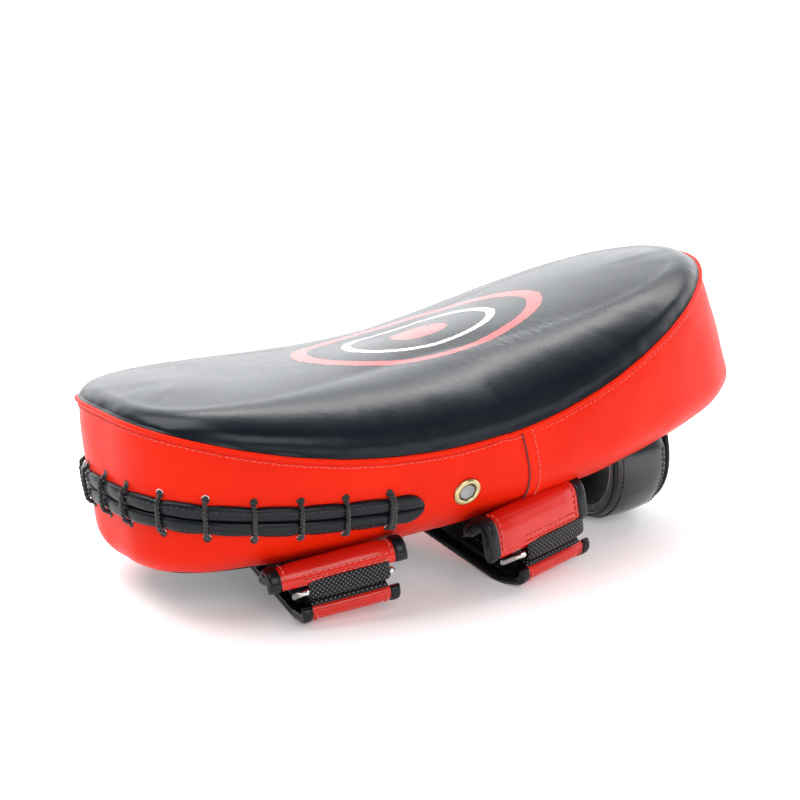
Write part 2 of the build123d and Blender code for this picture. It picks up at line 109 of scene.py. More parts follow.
def add_modifier(piece, kind, **settings):
    """A modifier with the given settings."""
    modifier = piece.modifiers.new(kind.lower(), kind)
    for key, value in settings.items():
        setattr(modifier, key, value)


def subdivided(piece):
    """Rounds a piece off with one level of subdivision."""
    add_modifier(piece, "SUBSURF", levels=1, render_levels=1)


def full_turn(count):
    """Evenly spaced angles once round."""
    return np.linspace(0, 2 * math.pi, count, endpoint=False)


def grid_faces(rows, columns, closed=False, looped=False):
    """Quads of a grid of points; closed joins each row round, and looped joins the last row to the first."""
    faces = []
    for i in range(rows if looped else rows - 1):
        m = (i + 1) % rows
        for j in range(columns if closed else columns - 1):
            k = (j + 1) % columns
            faces.append((i * columns + j, i * columns + k, m * columns + k, m * columns + j))
    return faces


def tube_faces(rows, columns, looped=False):
    """Faces of a tube of closed rows, with a cap at each end unless it is looped."""
    faces = grid_faces(rows, columns, True, looped)
    if not looped:
        faces.append(tuple(range(columns))[::-1])
        faces.append(tuple(range((rows - 1) * columns, rows * columns)))
    return faces


def unit(vectors):
    """Vectors brought to a length of 1."""
    return vectors / (np.linalg.norm(vectors, axis=-1, keepdims=True) + 1e-12)


def lengths_along(path):
    """Distance from the start of a path to each of its points."""
    return np.concatenate([[0], np.cumsum(np.linalg.norm(np.diff(path, axis=0), axis=1))])


def frames_along(path, ups, looped=False):
    """Lift and side at each point of a path."""
    if looped:
        steps = np.roll(path, -1, axis=0) - np.roll(path, 1, axis=0)
    else:
        steps = np.gradient(path, axis=0)
    tangents = unit(steps)
    sides = unit(np.cross(tangents, ups))
    return np.cross(sides, tangents), sides


def tube_parts(path, ups, radius, flat=1.0, segments=10, looped=False):
    """Points and faces of a round or flattened tube along a path."""
    path = np.asarray(path, float)
    lifts, sides = frames_along(path, ups, looped)
    turns = full_turn(segments)[None, :, None]
    ring = sides[:, None] * np.cos(turns) + lifts[:, None] * flat * np.sin(turns)
    points = (path[:, None] + radius * ring).reshape(-1, 3)
    return points, tube_faces(len(path), segments, looped)


def join_parts(parts):
    """Several lists of points and faces as one."""
    points, faces = [], []
    for more_points, more_faces in parts:
        start = len(points)
        points.extend(more_points)
        faces.extend(tuple(start + i for i in face) for face in more_faces)
    return points, faces


def pick(values, places):
    """Values at fractional indices."""
    values = np.asarray(values, float)
    low = np.clip(np.floor(places).astype(int), 0, len(values) - 1)
    high = np.clip(low + 1, 0, len(values) - 1)
    part = (places - low)[:, None]
    return values[low] * (1 - part) + values[high] * part


def spaced(path, step):
    """Evenly spaced places along a path, as fractional indices."""
    lengths = lengths_along(np.asarray(path, float))
    count = max(2, int(round(lengths[-1] / step)) + 1)
    return np.interp(np.linspace(0, lengths[-1], count), lengths, np.arange(len(path)))


def smooth_path(points, pieces):
    """A Catmull-Rom path through the points."""
    points = np.asarray(points, float)
    padded = np.vstack([2 * points[0] - points[1], points, 2 * points[-1] - points[-2]])
    path = []
    for a, b, c, d in zip(padded, padded[1:], padded[2:], padded[3:]):
        for t in np.linspace(0, 1, pieces, endpoint=False):
            square, cube = 2 * a - 5 * b + 4 * c - d, 3 * b - a - 3 * c + d
            path.append(0.5 * (2 * b + (c - a) * t + square * t**2 + cube * t**3))
    path.append(points[-1])
    return np.array(path)


STITCH_PITCH, STITCH_LENGTH = 3.3, 2.4
STITCH_ARCH = np.array((-0.55, 0.15, 0.4, 0.15, -0.55))   # how the thread rises out of its two holes


def stitch_parts(path, ups, radius=0.36, lift=0.25):
    """A row of thread stitches that arch out of a surface along a path, in millimetres."""
    places = spaced(path, STITCH_PITCH / 4)
    points = pick(path, places)
    normals = unit(pick(ups, places))
    arch = (STITCH_ARCH + lift)[:, None]
    share = np.linspace(0, STITCH_LENGTH / STITCH_PITCH, 5)[:, None]
    parts = []
    for i in range(0, len(points) - 4, 4):
        line = points[i] + (points[i + 4] - points[i]) * share + normals[i] * arch
        parts.append(tube_parts(line, normals[i], radius, segments=6))
    return join_parts(parts)


def wobble(x, y, z=0.0, size=10.0):
    """Smooth noise between about -1 and 1 at a scale in millimetres."""
    return noise.noise(Vector((x / size, y / size, z / size)))


# ---------------------------------------------------------------- material tools
def new_material(name):
    """A node material, its tree and its shader."""
    material = bpy.data.materials.new(name)
    material.use_nodes = True
    tree = material.node_tree
    tree.nodes.clear()
    shader = tree.nodes.new("ShaderNodeBsdfPrincipled")
    output = tree.nodes.new("ShaderNodeOutputMaterial")
    tree.links.new(shader.outputs[0], output.inputs[0])
    return material, tree, shader


def node(tree, kind, **settings):
    """A node; settings in capitals are inputs by name, the rest are its properties."""
    made = tree.nodes.new(kind)
    for key, value in settings.items():
        if key[0].isupper():
            made.inputs[key].default_value = value
        else:
            setattr(made, key, value)
    return made


def object_place(tree):
    """The place on the object's own axes."""
    return node(tree, "ShaderNodeTexCoord").outputs["Object"]


def attribute_place(tree, name):
    """A point attribute as a vector, and its three parts."""
    place = node(tree, "ShaderNodeAttribute", attribute_name=name).outputs["Vector"]
    split = node(tree, "ShaderNodeSeparateXYZ")
    tree.links.new(place, split.inputs[0])
    return place, split.outputs


def noise_at(tree, place, scale, detail, distortion=0.0):
    """Noise over a vector."""
    made = node(tree, "ShaderNodeTexNoise", Scale=scale, Detail=detail, Distortion=distortion)
    tree.links.new(place, made.inputs["Vector"])
    return made.outputs["Fac"]


def map_range(tree, source, low, high, to_low, to_high, kind="LINEAR"):
    """A value taken from one range to another."""
    made = node(tree, "ShaderNodeMapRange", interpolation_type=kind)
    for key, value in zip(("From Min", "From Max", "To Min", "To Max"), (low, high, to_low, to_high)):
        made.inputs[key].default_value = value
    tree.links.new(source, made.inputs["Value"])
    return made.outputs[0]


def maths(tree, operation, *values):
    """One arithmetic node on sockets or numbers."""
    made = node(tree, "ShaderNodeMath", operation=operation)
    for socket, value in zip(made.inputs, values):
        if isinstance(value, (int, float)):
            socket.default_value = value
        else:
            tree.links.new(value, socket)
    return made.outputs[0]


def colour_between(tree, shader, factor, stops, mark=None):
    """Colours the shader by a ramp over (place, colour) stops; mark draws over it."""
    ramp = tree.nodes.new("ShaderNodeValToRGB")
    elements = ramp.color_ramp.elements
    while len(elements) < len(stops):
        elements.new(0.5)
    for element, (place, colour) in zip(elements, stops):
        element.position = place
        element.color = (*colour, 1)
    tree.links.new(factor, ramp.inputs[0])
    base = mark(tree, ramp.outputs[0]) if mark else ramp.outputs[0]
    tree.links.new(base, shader.inputs["Base Color"])


def bump_chain(tree, shader, heights):
    """Bumps from (height output, strength, distance in metres) triples, one after another."""
    normal = None
    for height, strength, distance in heights:
        bump = node(tree, "ShaderNodeBump", Strength=strength, Distance=distance)
        tree.links.new(height, bump.inputs["Height"])
        if normal:
            tree.links.new(normal, bump.inputs["Normal"])
        normal = bump.outputs[0]
    tree.links.new(normal, shader.inputs["Normal"])


def uneven_gloss(tree, shader, source, roughness, low, high):
    """Roughness that follows a noise between two shares of its value."""
    gloss = map_range(tree, source, 0.3, 0.7, roughness * low, roughness * high)
    tree.links.new(gloss, shader.inputs["Roughness"])


# ---------------------------------------------------------------- materials
GRAIN = 0.12
CREASE_SCALE = (0.34, 0.05, 0.05)
CREASE_X, CREASE_Y = (45.0, 62.0), (-44.0, 24.0)   # middle and reach of the creased patch
MARK_RED, MARK_PALE = (0.62, 0.09, 0.09), (0.75, 0.75, 0.75)
MARK_CENTRE, MARK_RADIUS, MARK_STRETCH = (6.0, 4.0), 40.0, 1.8
MARK_RINGS = ((MARK_RADIUS, 2.6, MARK_RED), (MARK_RADIUS * 0.62, 1.5, MARK_PALE), (0.0, 10.0, MARK_RED))


def vinyl(name, light, dark, roughness, specular=0.5, mark=None, creased=False):
    """Glossy leather-grained vinyl, with uneven colour and gloss; mark draws the printed target."""
    material, tree, shader = new_material(name)
    place = object_place(tree)
    colour_between(tree, shader, noise_at(tree, place, 18.0, 3.0), ((0.3, dark), (0.7, light)), mark)
    uneven_gloss(tree, shader, noise_at(tree, place, 45.0, 4.0), roughness, 0.92, 1.12)
    cells = node(tree, "ShaderNodeTexVoronoi", feature="DISTANCE_TO_EDGE", Scale=1100.0)
    tree.links.new(place, cells.inputs["Vector"])
    heights = [(noise_at(tree, place, 650.0, 3.0), GRAIN, 0.0004), (cells.outputs[0], GRAIN, 0.0003)]
    if creased:
        heights.append((creases(tree), 0.25, 0.0006))
    bump_chain(tree, shader, heights)
    shader.inputs["Specular IOR Level"].default_value = specular
    return material


def creases(tree):
    """Height of the fine creases that cross the shoulder half way towards the hand end."""
    place, parts = attribute_place(tree, "pad")
    squeeze = node(tree, "ShaderNodeMapping", Scale=CREASE_SCALE)
    tree.links.new(place, squeeze.inputs["Vector"])
    lines = noise_at(tree, squeeze.outputs[0], 1.0, 2.5, 0.6)
    near = []
    for part, (middle, reach) in zip(parts, (CREASE_X, CREASE_Y)):
        off = maths(tree, "ABSOLUTE", maths(tree, "SUBTRACT", part, middle))
        near.append(map_range(tree, off, 0.0, reach, 1.0, 0.0, "SMOOTHSTEP"))
    ridge = maths(tree, "ABSOLUTE", maths(tree, "SUBTRACT", lines, 0.5))
    sharp = maths(tree, "MINIMUM", maths(tree, "MULTIPLY", ridge, 7.0), 1.0)
    return maths(tree, "MULTIPLY", maths(tree, "SUBTRACT", sharp, 1.0), maths(tree, "MULTIPLY", *near))


def printed_target(tree, base):
    """A plain printed target of rings and a dot, on the middle of the striking face."""
    place, parts = attribute_place(tree, "pad")
    dx = maths(tree, "DIVIDE", maths(tree, "SUBTRACT", parts[0], MARK_CENTRE[0]), MARK_STRETCH)
    dy = maths(tree, "SUBTRACT", parts[1], MARK_CENTRE[1])
    squares = [maths(tree, "MULTIPLY", d, d) for d in (dx, dy)]
    reach = maths(tree, "SQRT", maths(tree, "ADD", *squares))
    ragged = maths(tree, "MULTIPLY_ADD", noise_at(tree, place, 0.35, 4.0), 1.2, reach)
    for middle, half, colour in MARK_RINGS:
        off = maths(tree, "ABSOLUTE", maths(tree, "SUBTRACT", ragged, middle))
        mix = node(tree, "ShaderNodeMix", data_type="RGBA")
        tree.links.new(maths(tree, "LESS_THAN", off, half), mix.inputs[0])
        tree.links.new(base, mix.inputs[6])
        mix.inputs[7].default_value = (*colour, 1)
        base = mix.outputs[2]
    return base


def weave(name, roughness, thread, stops):
    """Woven cloth from two crossed sets of threads; stops are its colours from low to high."""
    material, tree, shader = new_material(name)
    place, parts = attribute_place(tree, "cloth")
    turn = 2 * math.pi / thread
    warp, weft = [maths(tree, "SINE", maths(tree, "MULTIPLY", part, turn)) for part in parts[:2]]
    height = maths(tree, "MULTIPLY_ADD", maths(tree, "MULTIPLY", warp, weft), 0.5, 0.5)
    colour_between(tree, shader, height, stops)
    bump_chain(tree, shader, ((height, 0.6, 0.0003), (noise_at(tree, place, 1500.0, 3.0), 0.3, 0.0002)))
    shader.inputs["Roughness"].default_value = roughness
    shader.inputs["Specular IOR Level"].default_value = 0.2
    return material


def metal(name, colour, roughness):
    """Polished metal with faint brushing and tarnish."""
    material, tree, shader = new_material(name)
    place = object_place(tree)
    dull = noise_at(tree, place, 120.0, 2.0)
    shade = tuple(0.82 * c for c in colour)
    colour_between(tree, shader, dull, ((0.35, shade), (0.6, colour)))
    uneven_gloss(tree, shader, dull, roughness, 0.7, 1.5)
    bump_chain(tree, shader, ((noise_at(tree, place, 700.0, 4.0), 0.05, 0.0001),))
    shader.inputs["Metallic"].default_value = 1.0
    return material


def fibre(name, light, dark, roughness, scale=900.0, glow=0.0):
    """Thread, foam, brushed nap or floor: matt, with fine uneven fibres."""
    material, tree, shader = new_material(name)
    nap = noise_at(tree, object_place(tree), scale, 5.0)
    colour_between(tree, shader, nap, ((0.35, dark), (0.65, light)))
    bump_chain(tree, shader, ((nap, 0.5, 0.0004),))
    shader.inputs["Roughness"].default_value = roughness
    shader.inputs["Sheen Weight"].default_value = 0.2
    shader.inputs["Emission Color"].default_value = (1, 1, 1, 1)
    shader.inputs["Emission Strength"].default_value = glow
    return material


BLACK = vinyl(
    "black_vinyl", (0.0045, 0.008, 0.0125), (0.003, 0.0055, 0.009), 0.27, 0.22, printed_target, creased=True
)
BLACK_PLAIN = vinyl("black_vinyl_plain", (0.005, 0.0075, 0.0105), (0.003, 0.0045, 0.0065), 0.32, 0.22)
GRIP_VINYL = vinyl("black_grip_vinyl", (0.006, 0.008, 0.012), (0.004, 0.005, 0.008), 0.2, 0.7)
BINDING = vinyl("black_binding", (0.005, 0.0065, 0.009), (0.003, 0.004, 0.006), 0.28, 0.28)
RED = vinyl("red_vinyl", (0.72, 0.018, 0.003), (0.64, 0.013, 0.002), 0.36, 0.06)
RED_STRAP = vinyl("red_strap_vinyl", (0.66, 0.014, 0.007), (0.52, 0.01, 0.004), 0.16, 0.4)
LINING = weave("black_lining", 0.75, 0.9, ((0.2, (0.007, 0.007, 0.008)), (0.8, (0.02, 0.021, 0.024))))
DOTTED = ((0.0, (0.005, 0.005, 0.006)), (0.82, (0.012, 0.012, 0.013)), (0.95, (0.26, 0.26, 0.28)))
WEBBING = weave("black_webbing", 0.5, 2.5, DOTTED)
CORD = fibre("black_cord", (0.008, 0.009, 0.011), (0.002, 0.0025, 0.003), 0.5)
# Painted highlight: pale crescents on the rims of some lace holes stand for white glints.
GLINT_PALE = fibre("painted_glint_pale", (0.75, 0.72, 0.7), (0.5, 0.46, 0.44), 0.6)
THREAD_RED = fibre("red_thread", (0.85, 0.11, 0.07), (0.6, 0.05, 0.03), 0.5)
# Painted shade: dark red for the shade in the grooves where the side panels join.
GROOVE_SHADE = fibre("painted_groove_shade", (0.12, 0.004, 0.003), (0.05, 0.002, 0.002), 0.8)
THREAD_BLACK = fibre("black_thread", (0.02, 0.02, 0.022), (0.008, 0.008, 0.009), 0.5)
NAP = fibre("hook_and_loop_nap", (0.02, 0.02, 0.02), (0.005, 0.005, 0.005), 0.95, 1600.0)
# Painted shade: a matt dark material for the insides of lace holes and vent wells.
HOLE_SHADE = fibre("painted_hole_shade", (0.02, 0.022, 0.02), (0.006, 0.007, 0.006), 0.95)
WIRE = metal("ring_wire", (0.78, 0.77, 0.74), 0.16)
BRASS = metal("eyelet_brass", (0.6, 0.5, 0.27), 0.27)
GAUZE = metal("vent_gauze", (0.55, 0.56, 0.56), 0.35)

# ---------------------------------------------------------------- the padded body's skin
THICKNESS, HALF_LENGTH, HALF_WIDTH = 89.5, 190.0, 85.0
ELBOW_POWER, HAND_POWER = 3.24, 2.11    # how square each end is in plan
ELBOW_SLANT, HAND_SLANT = -3.4, 11.7    # how far each end leans out towards the back
BEND, BEND_EASE = 0.001263, -0.307
SEAM_DROP, SEAM_RISE = 34.6, 28.3       # the seam under the striking face, and its rise at the ends
SHOULDER, SHOULDER_EASE = 68.4, 57.9    # width of the drooping shoulder, and its loss at the ends
CORNER, CORNER_EASE = 32.2, 18.0        # rounding into the back, and its loss at the ends
SIDE_HOLLOW, SIDE_FLARE, CROWN = 1.1, 24.8, 2.8
JOIN_X, JOIN_SLANT, JOIN_MIDDLE = 9.0, 9.5 / 51.0, 56.0
MOST_SWELL, CLOTH_FRAMES = 0.4, 14
COLUMNS, HALF_ROUND = 300, 150
TOP_ROWS, SHOULDER_ROWS, SIDE_ROWS, CORNER_ROWS, BACK_ROWS = 8, 20, 15, 12, 8
SEAM_ROW = TOP_ROWS + SHOULDER_ROWS
BACK_ROW = SEAM_ROW + SIDE_ROWS + CORNER_ROWS
LAST_ROW = BACK_ROW + BACK_ROWS
MIRRORED = np.minimum(np.arange(COLUMNS), COLUMNS - np.arange(COLUMNS))   # each column's twin on one side


def end_share(phi):
    """How much of a place on the outline belongs to the ends: 0 on the long sides, 1 at the tips."""
    return np.abs(np.cos(phi)) ** 1.48


def seam_drop(phi):
    """How far the seam lies under the striking face, as a share of the thickness."""
    return (SEAM_DROP - SEAM_RISE * end_share(phi)) / THICKNESS


def corner_radius(phi):
    """Radius of the rounding between the side and the back."""
    return CORNER - CORNER_EASE * np.cos(phi) ** 2


def corner_share(phi):
    """Height of that rounding, as a share of the thickness."""
    return corner_radius(phi) / THICKNESS


def skin(phi, t, inner=1.0):
    """A point of the skin before it is bent, at an angle round the outline and a height from 0 to 1."""
    c, s = np.cos(phi), np.sin(phi)
    shoulder, corner = seam_drop(phi), corner_share(phi)
    over = np.clip((t - 1 + shoulder) / shoulder, 0, 1)
    under = np.clip((corner - t) / corner, 0, 1)
    inset = (SHOULDER - SHOULDER_EASE * end_share(phi)) * (1 - np.sqrt(1 - over**2))
    inset = inset + corner_radius(phi) * (1 - np.sqrt(1 - under**2)) - SIDE_HOLLOW * np.sin(math.pi * t)
    slant = np.where(c < 0, ELBOW_SLANT, HAND_SLANT) * (t - 0.5)
    power = 2 / np.where(c < 0, ELBOW_POWER, HAND_POWER)
    u = (HALF_LENGTH - inset - slant) * np.sign(c) * np.abs(c) ** power
    v = (HALF_WIDTH - inset + SIDE_FLARE * (t - 0.5)) * np.sign(s) * np.abs(s) ** power
    crown = np.where(t > 0.5, CROWN, 0.0) * (1 - inner**2)
    return u * (0.8 + 0.2 * inner), v * inner, t * THICKNESS + crown


def bend(u, v, w):
    """Bends the body along its length."""
    share = (u / HALF_LENGTH) ** 2
    rise = BEND * u**2 / 2 * (1 + BEND_EASE * share)
    slope = BEND * u * (1 + 2 * BEND_EASE * share)
    size = np.sqrt(1 + slope**2)
    return np.stack([u - slope**2 * u / 6 - w * slope / size, v, rise + w / size], -1)


def even_angles():
    """Angles round the outline, evenly spaced in length and alike on both sides, and their spacing."""
    ease = np.linspace(0, 1, 2001)
    half = math.pi / 2 * np.concatenate([1 - ease[::-1] ** 3, 1 + ease[1:] ** 3])
    lengths = lengths_along(bend(*skin(half, np.full_like(half, 0.5))))
    upper = np.interp(np.linspace(0, lengths[-1], HALF_ROUND + 1), lengths, half)
    return np.concatenate([upper, 2 * math.pi - upper[-2:0:-1]]), lengths[-1] / HALF_ROUND


def join_angle(t):
    """Angle of the slanting join of the two side panels at a height."""
    x = JOIN_X + (JOIN_MIDDLE - t * THICKNESS) * JOIN_SLANT
    return math.acos((x / (HALF_LENGTH - HAND_SLANT * (t - 0.5))) ** (HAND_POWER / 2))


angles, COLUMN_STEP = even_angles()
SEAM_HEIGHT = 1 - SEAM_DROP / THICKNESS
JOIN_COLUMN = int(np.abs(angles[:HALF_ROUND] - join_angle(SEAM_HEIGHT)).argmin())


def row_angles(t):
    """The column angles at one height, drawn aside so that one column follows the join."""
    shift = join_angle(min(t, SEAM_HEIGHT)) - angles[JOIN_COLUMN]
    near = np.exp(-(((MIRRORED - JOIN_COLUMN) / 14.0) ** 2))
    sign = np.where(np.arange(COLUMNS) <= HALF_ROUND, 1, -1)
    return angles + sign * shift * near


def skin_rows():
    """The whole skin as rows from the middle of the striking face to the middle of the back."""
    rows = []
    for i in range(TOP_ROWS):
        rows.append(skin(row_angles(1.0), np.ones(COLUMNS), i / TOP_ROWS))
    for i in range(SHOULDER_ROWS):
        phi = row_angles(1.0)
        rows.append(skin(phi, 1 - seam_drop(phi) * (1 - math.cos(math.pi / 2 * i / SHOULDER_ROWS))))
    for i in range(SIDE_ROWS):
        part = i / SIDE_ROWS
        phi = row_angles(SEAM_HEIGHT * (1 - part) + 0.3 * part)
        top = 1 - seam_drop(phi)
        rows.append(skin(phi, top + (corner_share(phi) - top) * part))
    for i in range(CORNER_ROWS + 1):
        height = 1 - math.sin(math.pi / 2 * i / CORNER_ROWS)
        phi = row_angles(0.3 * height)
        rows.append(skin(phi, corner_share(phi) * height))
    for i in range(1, BACK_ROWS + 1):
        rows.append(skin(row_angles(0.0), np.zeros(COLUMNS), 1 - i / BACK_ROWS))
    return np.array([bend(*row) for row in rows])


def normals_of(rows):
    """Outward normals of a grid of rows that closes round its columns."""
    along = np.roll(rows, -1, axis=1) - np.roll(rows, 1, axis=1)
    normals = unit(np.cross(np.gradient(rows, axis=0), along))
    normals[0] = normals[1]
    normals[-1] = normals[-2]
    return normals


def folded_faces():
    """Faces of the closed skin, whose first and last rows fold onto a line."""
    def index(i, j):
        j %= COLUMNS
        return i * COLUMNS + (MIRRORED[j] if i in (0, LAST_ROW) else j)

    faces = []
    for i in range(LAST_ROW):
        for j in range(COLUMNS):
            face = [int(index(*spot)) for spot in ((i, j), (i, j + 1), (i + 1, j + 1), (i + 1, j))]
            kept = [v for n, v in enumerate(face) if v != face[n - 1]]
            faces.append(tuple(kept[::-1]))
    return faces


def room_from_seams():
    """Rows or columns between each point of the skin and the nearest seam."""
    rows = np.arange(LAST_ROW + 1)
    from_rows = np.minimum(np.abs(rows - SEAM_ROW), np.abs(rows - BACK_ROW))[:, None]
    side = ((rows >= SEAM_ROW) & (rows <= BACK_ROW))[:, None]
    return np.where(side, np.minimum(from_rows, np.abs(MIRRORED - JOIN_COLUMN)), from_rows)


def swollen_points(start, held):
    """The skin after a few frames of Blender's cloth under inner pressure, sewn down where held."""
    mesh = bpy.data.meshes.new("swelling")
    mesh.from_pydata([tuple(p) for p in (start / 1000).reshape(-1, 3)], [], folded_faces())
    form = bpy.data.objects.new("swelling", mesh)
    bpy.context.collection.objects.link(form)
    group = form.vertex_groups.new(name="seams")
    group.add([int(i) for i in np.flatnonzero(held.ravel())], 1.0, "REPLACE")
    cloth = form.modifiers.new("cloth", "CLOTH").settings
    cloth.vertex_group_mass = "seams"
    cloth.use_pressure = True
    cloth.uniform_pressure_force = 4.0
    cloth.effector_weights.gravity = 0.0
    cloth.quality = 4
    cloth.shrink_min = -0.015
    cloth.bending_stiffness = 1.5
    for number in range(1, CLOTH_FRAMES + 1):
        bpy.context.scene.frame_set(number)
    swollen = form.evaluated_get(bpy.context.evaluated_depsgraph_get())
    points = np.empty(start.size, np.float32)
    swollen.data.vertices.foreach_get("co", points)
    bpy.context.scene.frame_set(1)
    bpy.data.objects.remove(form)
    points = points.reshape(start.shape).astype(float) * 1000
    for i in (0, LAST_ROW):
        points[i] = points[i][MIRRORED]
    return points


def inflate(rows, most):
    """Wrinkles of the skin from Blender's cloth, held at its seams and kept within most."""
    normals, room = normals_of(rows), room_from_seams()
    free = np.clip(room / 4, 0, 1)
    start = rows - normals * (1.6 * free)[..., None]
    moved = ((swollen_points(start, room == 0) - start) * normals).sum(axis=2)
    spread = (moved - moved.mean()) / (2 * moved.std())
    return rows + normals * (most * np.tanh(spread) * free)[..., None]


def pucker(x, y, down, off_seam, off_back, arc, i):
    """Gathers, creases and pulled-in seams at a place, as a move along the skin's normal."""
    gather = wobble(arc, 0.3 * off_seam, 3.0, 9.0) + 0.5 * wobble(arc, off_seam, 9.0, 4.5)
    move = (-1.1 + 0.55 * gather) * math.exp(-((off_seam / 7.0) ** 2)) * min(1.0, off_seam / 1.5)
    move -= 0.8 * math.exp(-((off_back / 5.0) ** 2))
    if i < SEAM_ROW:
        crease = wobble(arc, 0.25 * down, 21.0, 8.0)
        over = math.exp(-(((off_seam - 22.0) / 18.0) ** 2))
        move += 0.22 * crease * over * (0.5 + 0.5 * wobble(x, y, 5.0, 60.0))
        move += 0.15 * wobble(x, y, 1.0, 45.0)
    elif i < BACK_ROW:
        move += 0.55 * wobble(arc, down, 7.0, 22.0)
    return move


def puckered(rows):
    """The skin with its puckers."""
    moves = np.zeros((LAST_ROW + 1, COLUMNS))
    for i in range(LAST_ROW + 1):
        for j in range(COLUMNS):
            down = depth[i, j]
            off_seam, off_back = abs(down - depth[SEAM_ROW, j]), abs(down - depth[BACK_ROW, j])
            moves[i, j] = pucker(*rows[i, j, :2], down, off_seam, off_back, j * COLUMN_STEP, i)
    for i in (0, LAST_ROW):
        moves[i] = moves[i][MIRRORED]
    return rows + normals_of(rows) * moves[..., None]


body = skin_rows()
body = inflate(body, MOST_SWELL)
depth = np.array([lengths_along(body[:, j]) for j in range(COLUMNS)]).T   # down each column from the top
body = puckered(body)
body_normals = normals_of(body)


def on_column(j, row, stand=0.0):
    """A point on a column of the skin at a fractional row, held out by stand, and its normal."""
    low = min(int(row), LAST_ROW - 1)
    part = row - low
    normal = body_normals[low, j] * (1 - part) + body_normals[low + 1, j] * part
    return body[low, j] * (1 - part) + body[low + 1, j] * part + normal * stand, normal


def near_seam(off, stand=0.0, row=SEAM_ROW):
    """A line round the body, so far below a row and out of the skin, with its normals."""
    found = []
    for j in range(COLUMNS):
        place = np.interp(depth[row, j] + off, depth[:, j], np.arange(LAST_ROW + 1))
        found.append(on_column(j, place, stand))
    return np.array(found).transpose(1, 0, 2)


# ---------------------------------------------------------------- cover panels and their seams
COVER_THICK, WELT_RADIUS, BACK_BINDING, GROOVE = 1.2, 1.25, 2.0, 0.45


def skin_panel(name, first, last, columns, material, nodes, lift=0.0):
    """One cover panel of the skin, held out by lift, with a thickness that shows at its edges."""
    rows = (body + body_normals * lift)[first : last + 1][:, columns]
    arcs = np.broadcast_to(np.asarray(columns) * COLUMN_STEP, rows.shape[:2])
    downs = depth[first : last + 1][:, columns]
    cloth = np.stack([arcs, downs, np.zeros(rows.shape[:2])], -1)
    keys = {"pad": rows.reshape(-1, 3), "cloth": cloth.reshape(-1, 3)}
    faces = [face[::-1] for face in grid_faces(len(rows), len(columns), len(columns) == COLUMNS)]
    points = world(rows).reshape(-1, 3)
    piece = mesh_object(name, points, faces, material, closed=False, attributes=keys)
    add_modifier(piece, "WELD", merge_threshold=0.00005)
    add_modifier(piece, "SOLIDIFY", thickness=COVER_THICK / 1000, offset=-1)
    subdivided(piece)
    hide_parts(*nodes)


def overlap():
    """How far the hand half lies over the elbow half: more at its two edges."""
    return np.where(np.abs(MIRRORED - JOIN_COLUMN) < 4, 0.9, 0.35)[None, :, None]


every_column = np.arange(COLUMNS)
hand_columns = np.arange(-JOIN_COLUMN, JOIN_COLUMN + 1) % COLUMNS
elbow_columns = np.arange(JOIN_COLUMN - 2, COLUMNS - JOIN_COLUMN + 3)
skin_panel(
    "strike_cover_skin", 0, SEAM_ROW, every_column, BLACK, ("strike_cover", "strike_foam")
)
skin_panel(
    "back_cover_skin", BACK_ROW, LAST_ROW, every_column, LINING,
    ("back_cover", "back_board"),
)
skin_panel(
    "side_skin_hand", SEAM_ROW, BACK_ROW, hand_columns, RED, ("side_panel_hand",), lift=overlap()
)
skin_panel(
    "side_skin_elbow", SEAM_ROW, BACK_ROW, elbow_columns, RED, ("side_panel_elbow", "core_foam")
)

welt = tube_parts(*near_seam(0.9, 0.5), WELT_RADIUS, looped=True)
add_piece("seam_welt_roll", welt, RED, nodes=("seam_welt",))
line, ups = near_seam(4.6)
add_piece("seam_stitching", stitch_parts(np.vstack([line, line[:1]]), np.vstack([ups, ups[:1]])), THREAD_RED)
binding = tube_parts(*near_seam(0.0, 0.6, BACK_ROW), BACK_BINDING, 0.6, looped=True)
add_piece("back_edge_binding", binding, BLACK_PLAIN)
side_rows = np.arange(SEAM_ROW + 1, BACK_ROW)
for end, join, beside in (("near", COLUMNS - JOIN_COLUMN, 2), ("far", JOIN_COLUMN, -2)):
    line, ups = body[side_rows, join], body_normals[side_rows, join]
    # The dark red tube along each join is painted shade in its groove.
    add_piece(f"join_groove_{end}", tube_parts(line + ups * GROOVE, ups, GROOVE, segments=8), GROOVE_SHADE)
    line, ups = body[side_rows, join + beside], body_normals[side_rows, join + beside]
    add_piece(f"join_stitching_{end}", stitch_parts(line + ups * 0.8, ups), THREAD_RED)

# ---------------------------------------------------------------- lacing
LACE_TIP_X, LACE_END_RISE, LACE_TIP_RISE = -52.0, 37.0, 27.0
LACE_PITCH, CROSSINGS_EACH_WAY, LACE_HOLE, CORD_RADIUS, CORD_TURN = 24.0, 7, 9.4, 1.15, 4.5
LIP_PROFILE = (   # places across a folded lip, and how far it stands out there
    (0.1, 0.6), (0.5, 2.5), (2.6, 3.2), (5.0, 3.0), (7.0, 2.7),
    (8.0, 1.7), (8.3, 0.2), (8.0, -1.2), (0.1, -1.2),
)
CROSSING = (      # one pass of the cord: shares of the way to its holes, and how far it stands out
    (1.06, -3.0), (1.0, 0.9), (0.74, 3.7), (0.0, 4.2), (-0.74, 3.7), (-1.0, 0.9), (-1.06, -3.0)
)
HOLE_POINTS = 20
GLINT_CROSSINGS = (2, 3)   # crossings whose upper hole also gets a painted glint
LACE_GUIDE_ROW = SEAM_ROW + 8
tip_reach = next(r for r in range(HALF_ROUND) if body[LACE_GUIDE_ROW, HALF_ROUND + r, 0] > LACE_TIP_X)


def lace_rise(x):
    """Height of the middle of the lacing over the back."""
    part = (x + HALF_LENGTH) / (LACE_TIP_X + HALF_LENGTH)
    return LACE_END_RISE + part * (LACE_TIP_RISE - LACE_END_RISE)


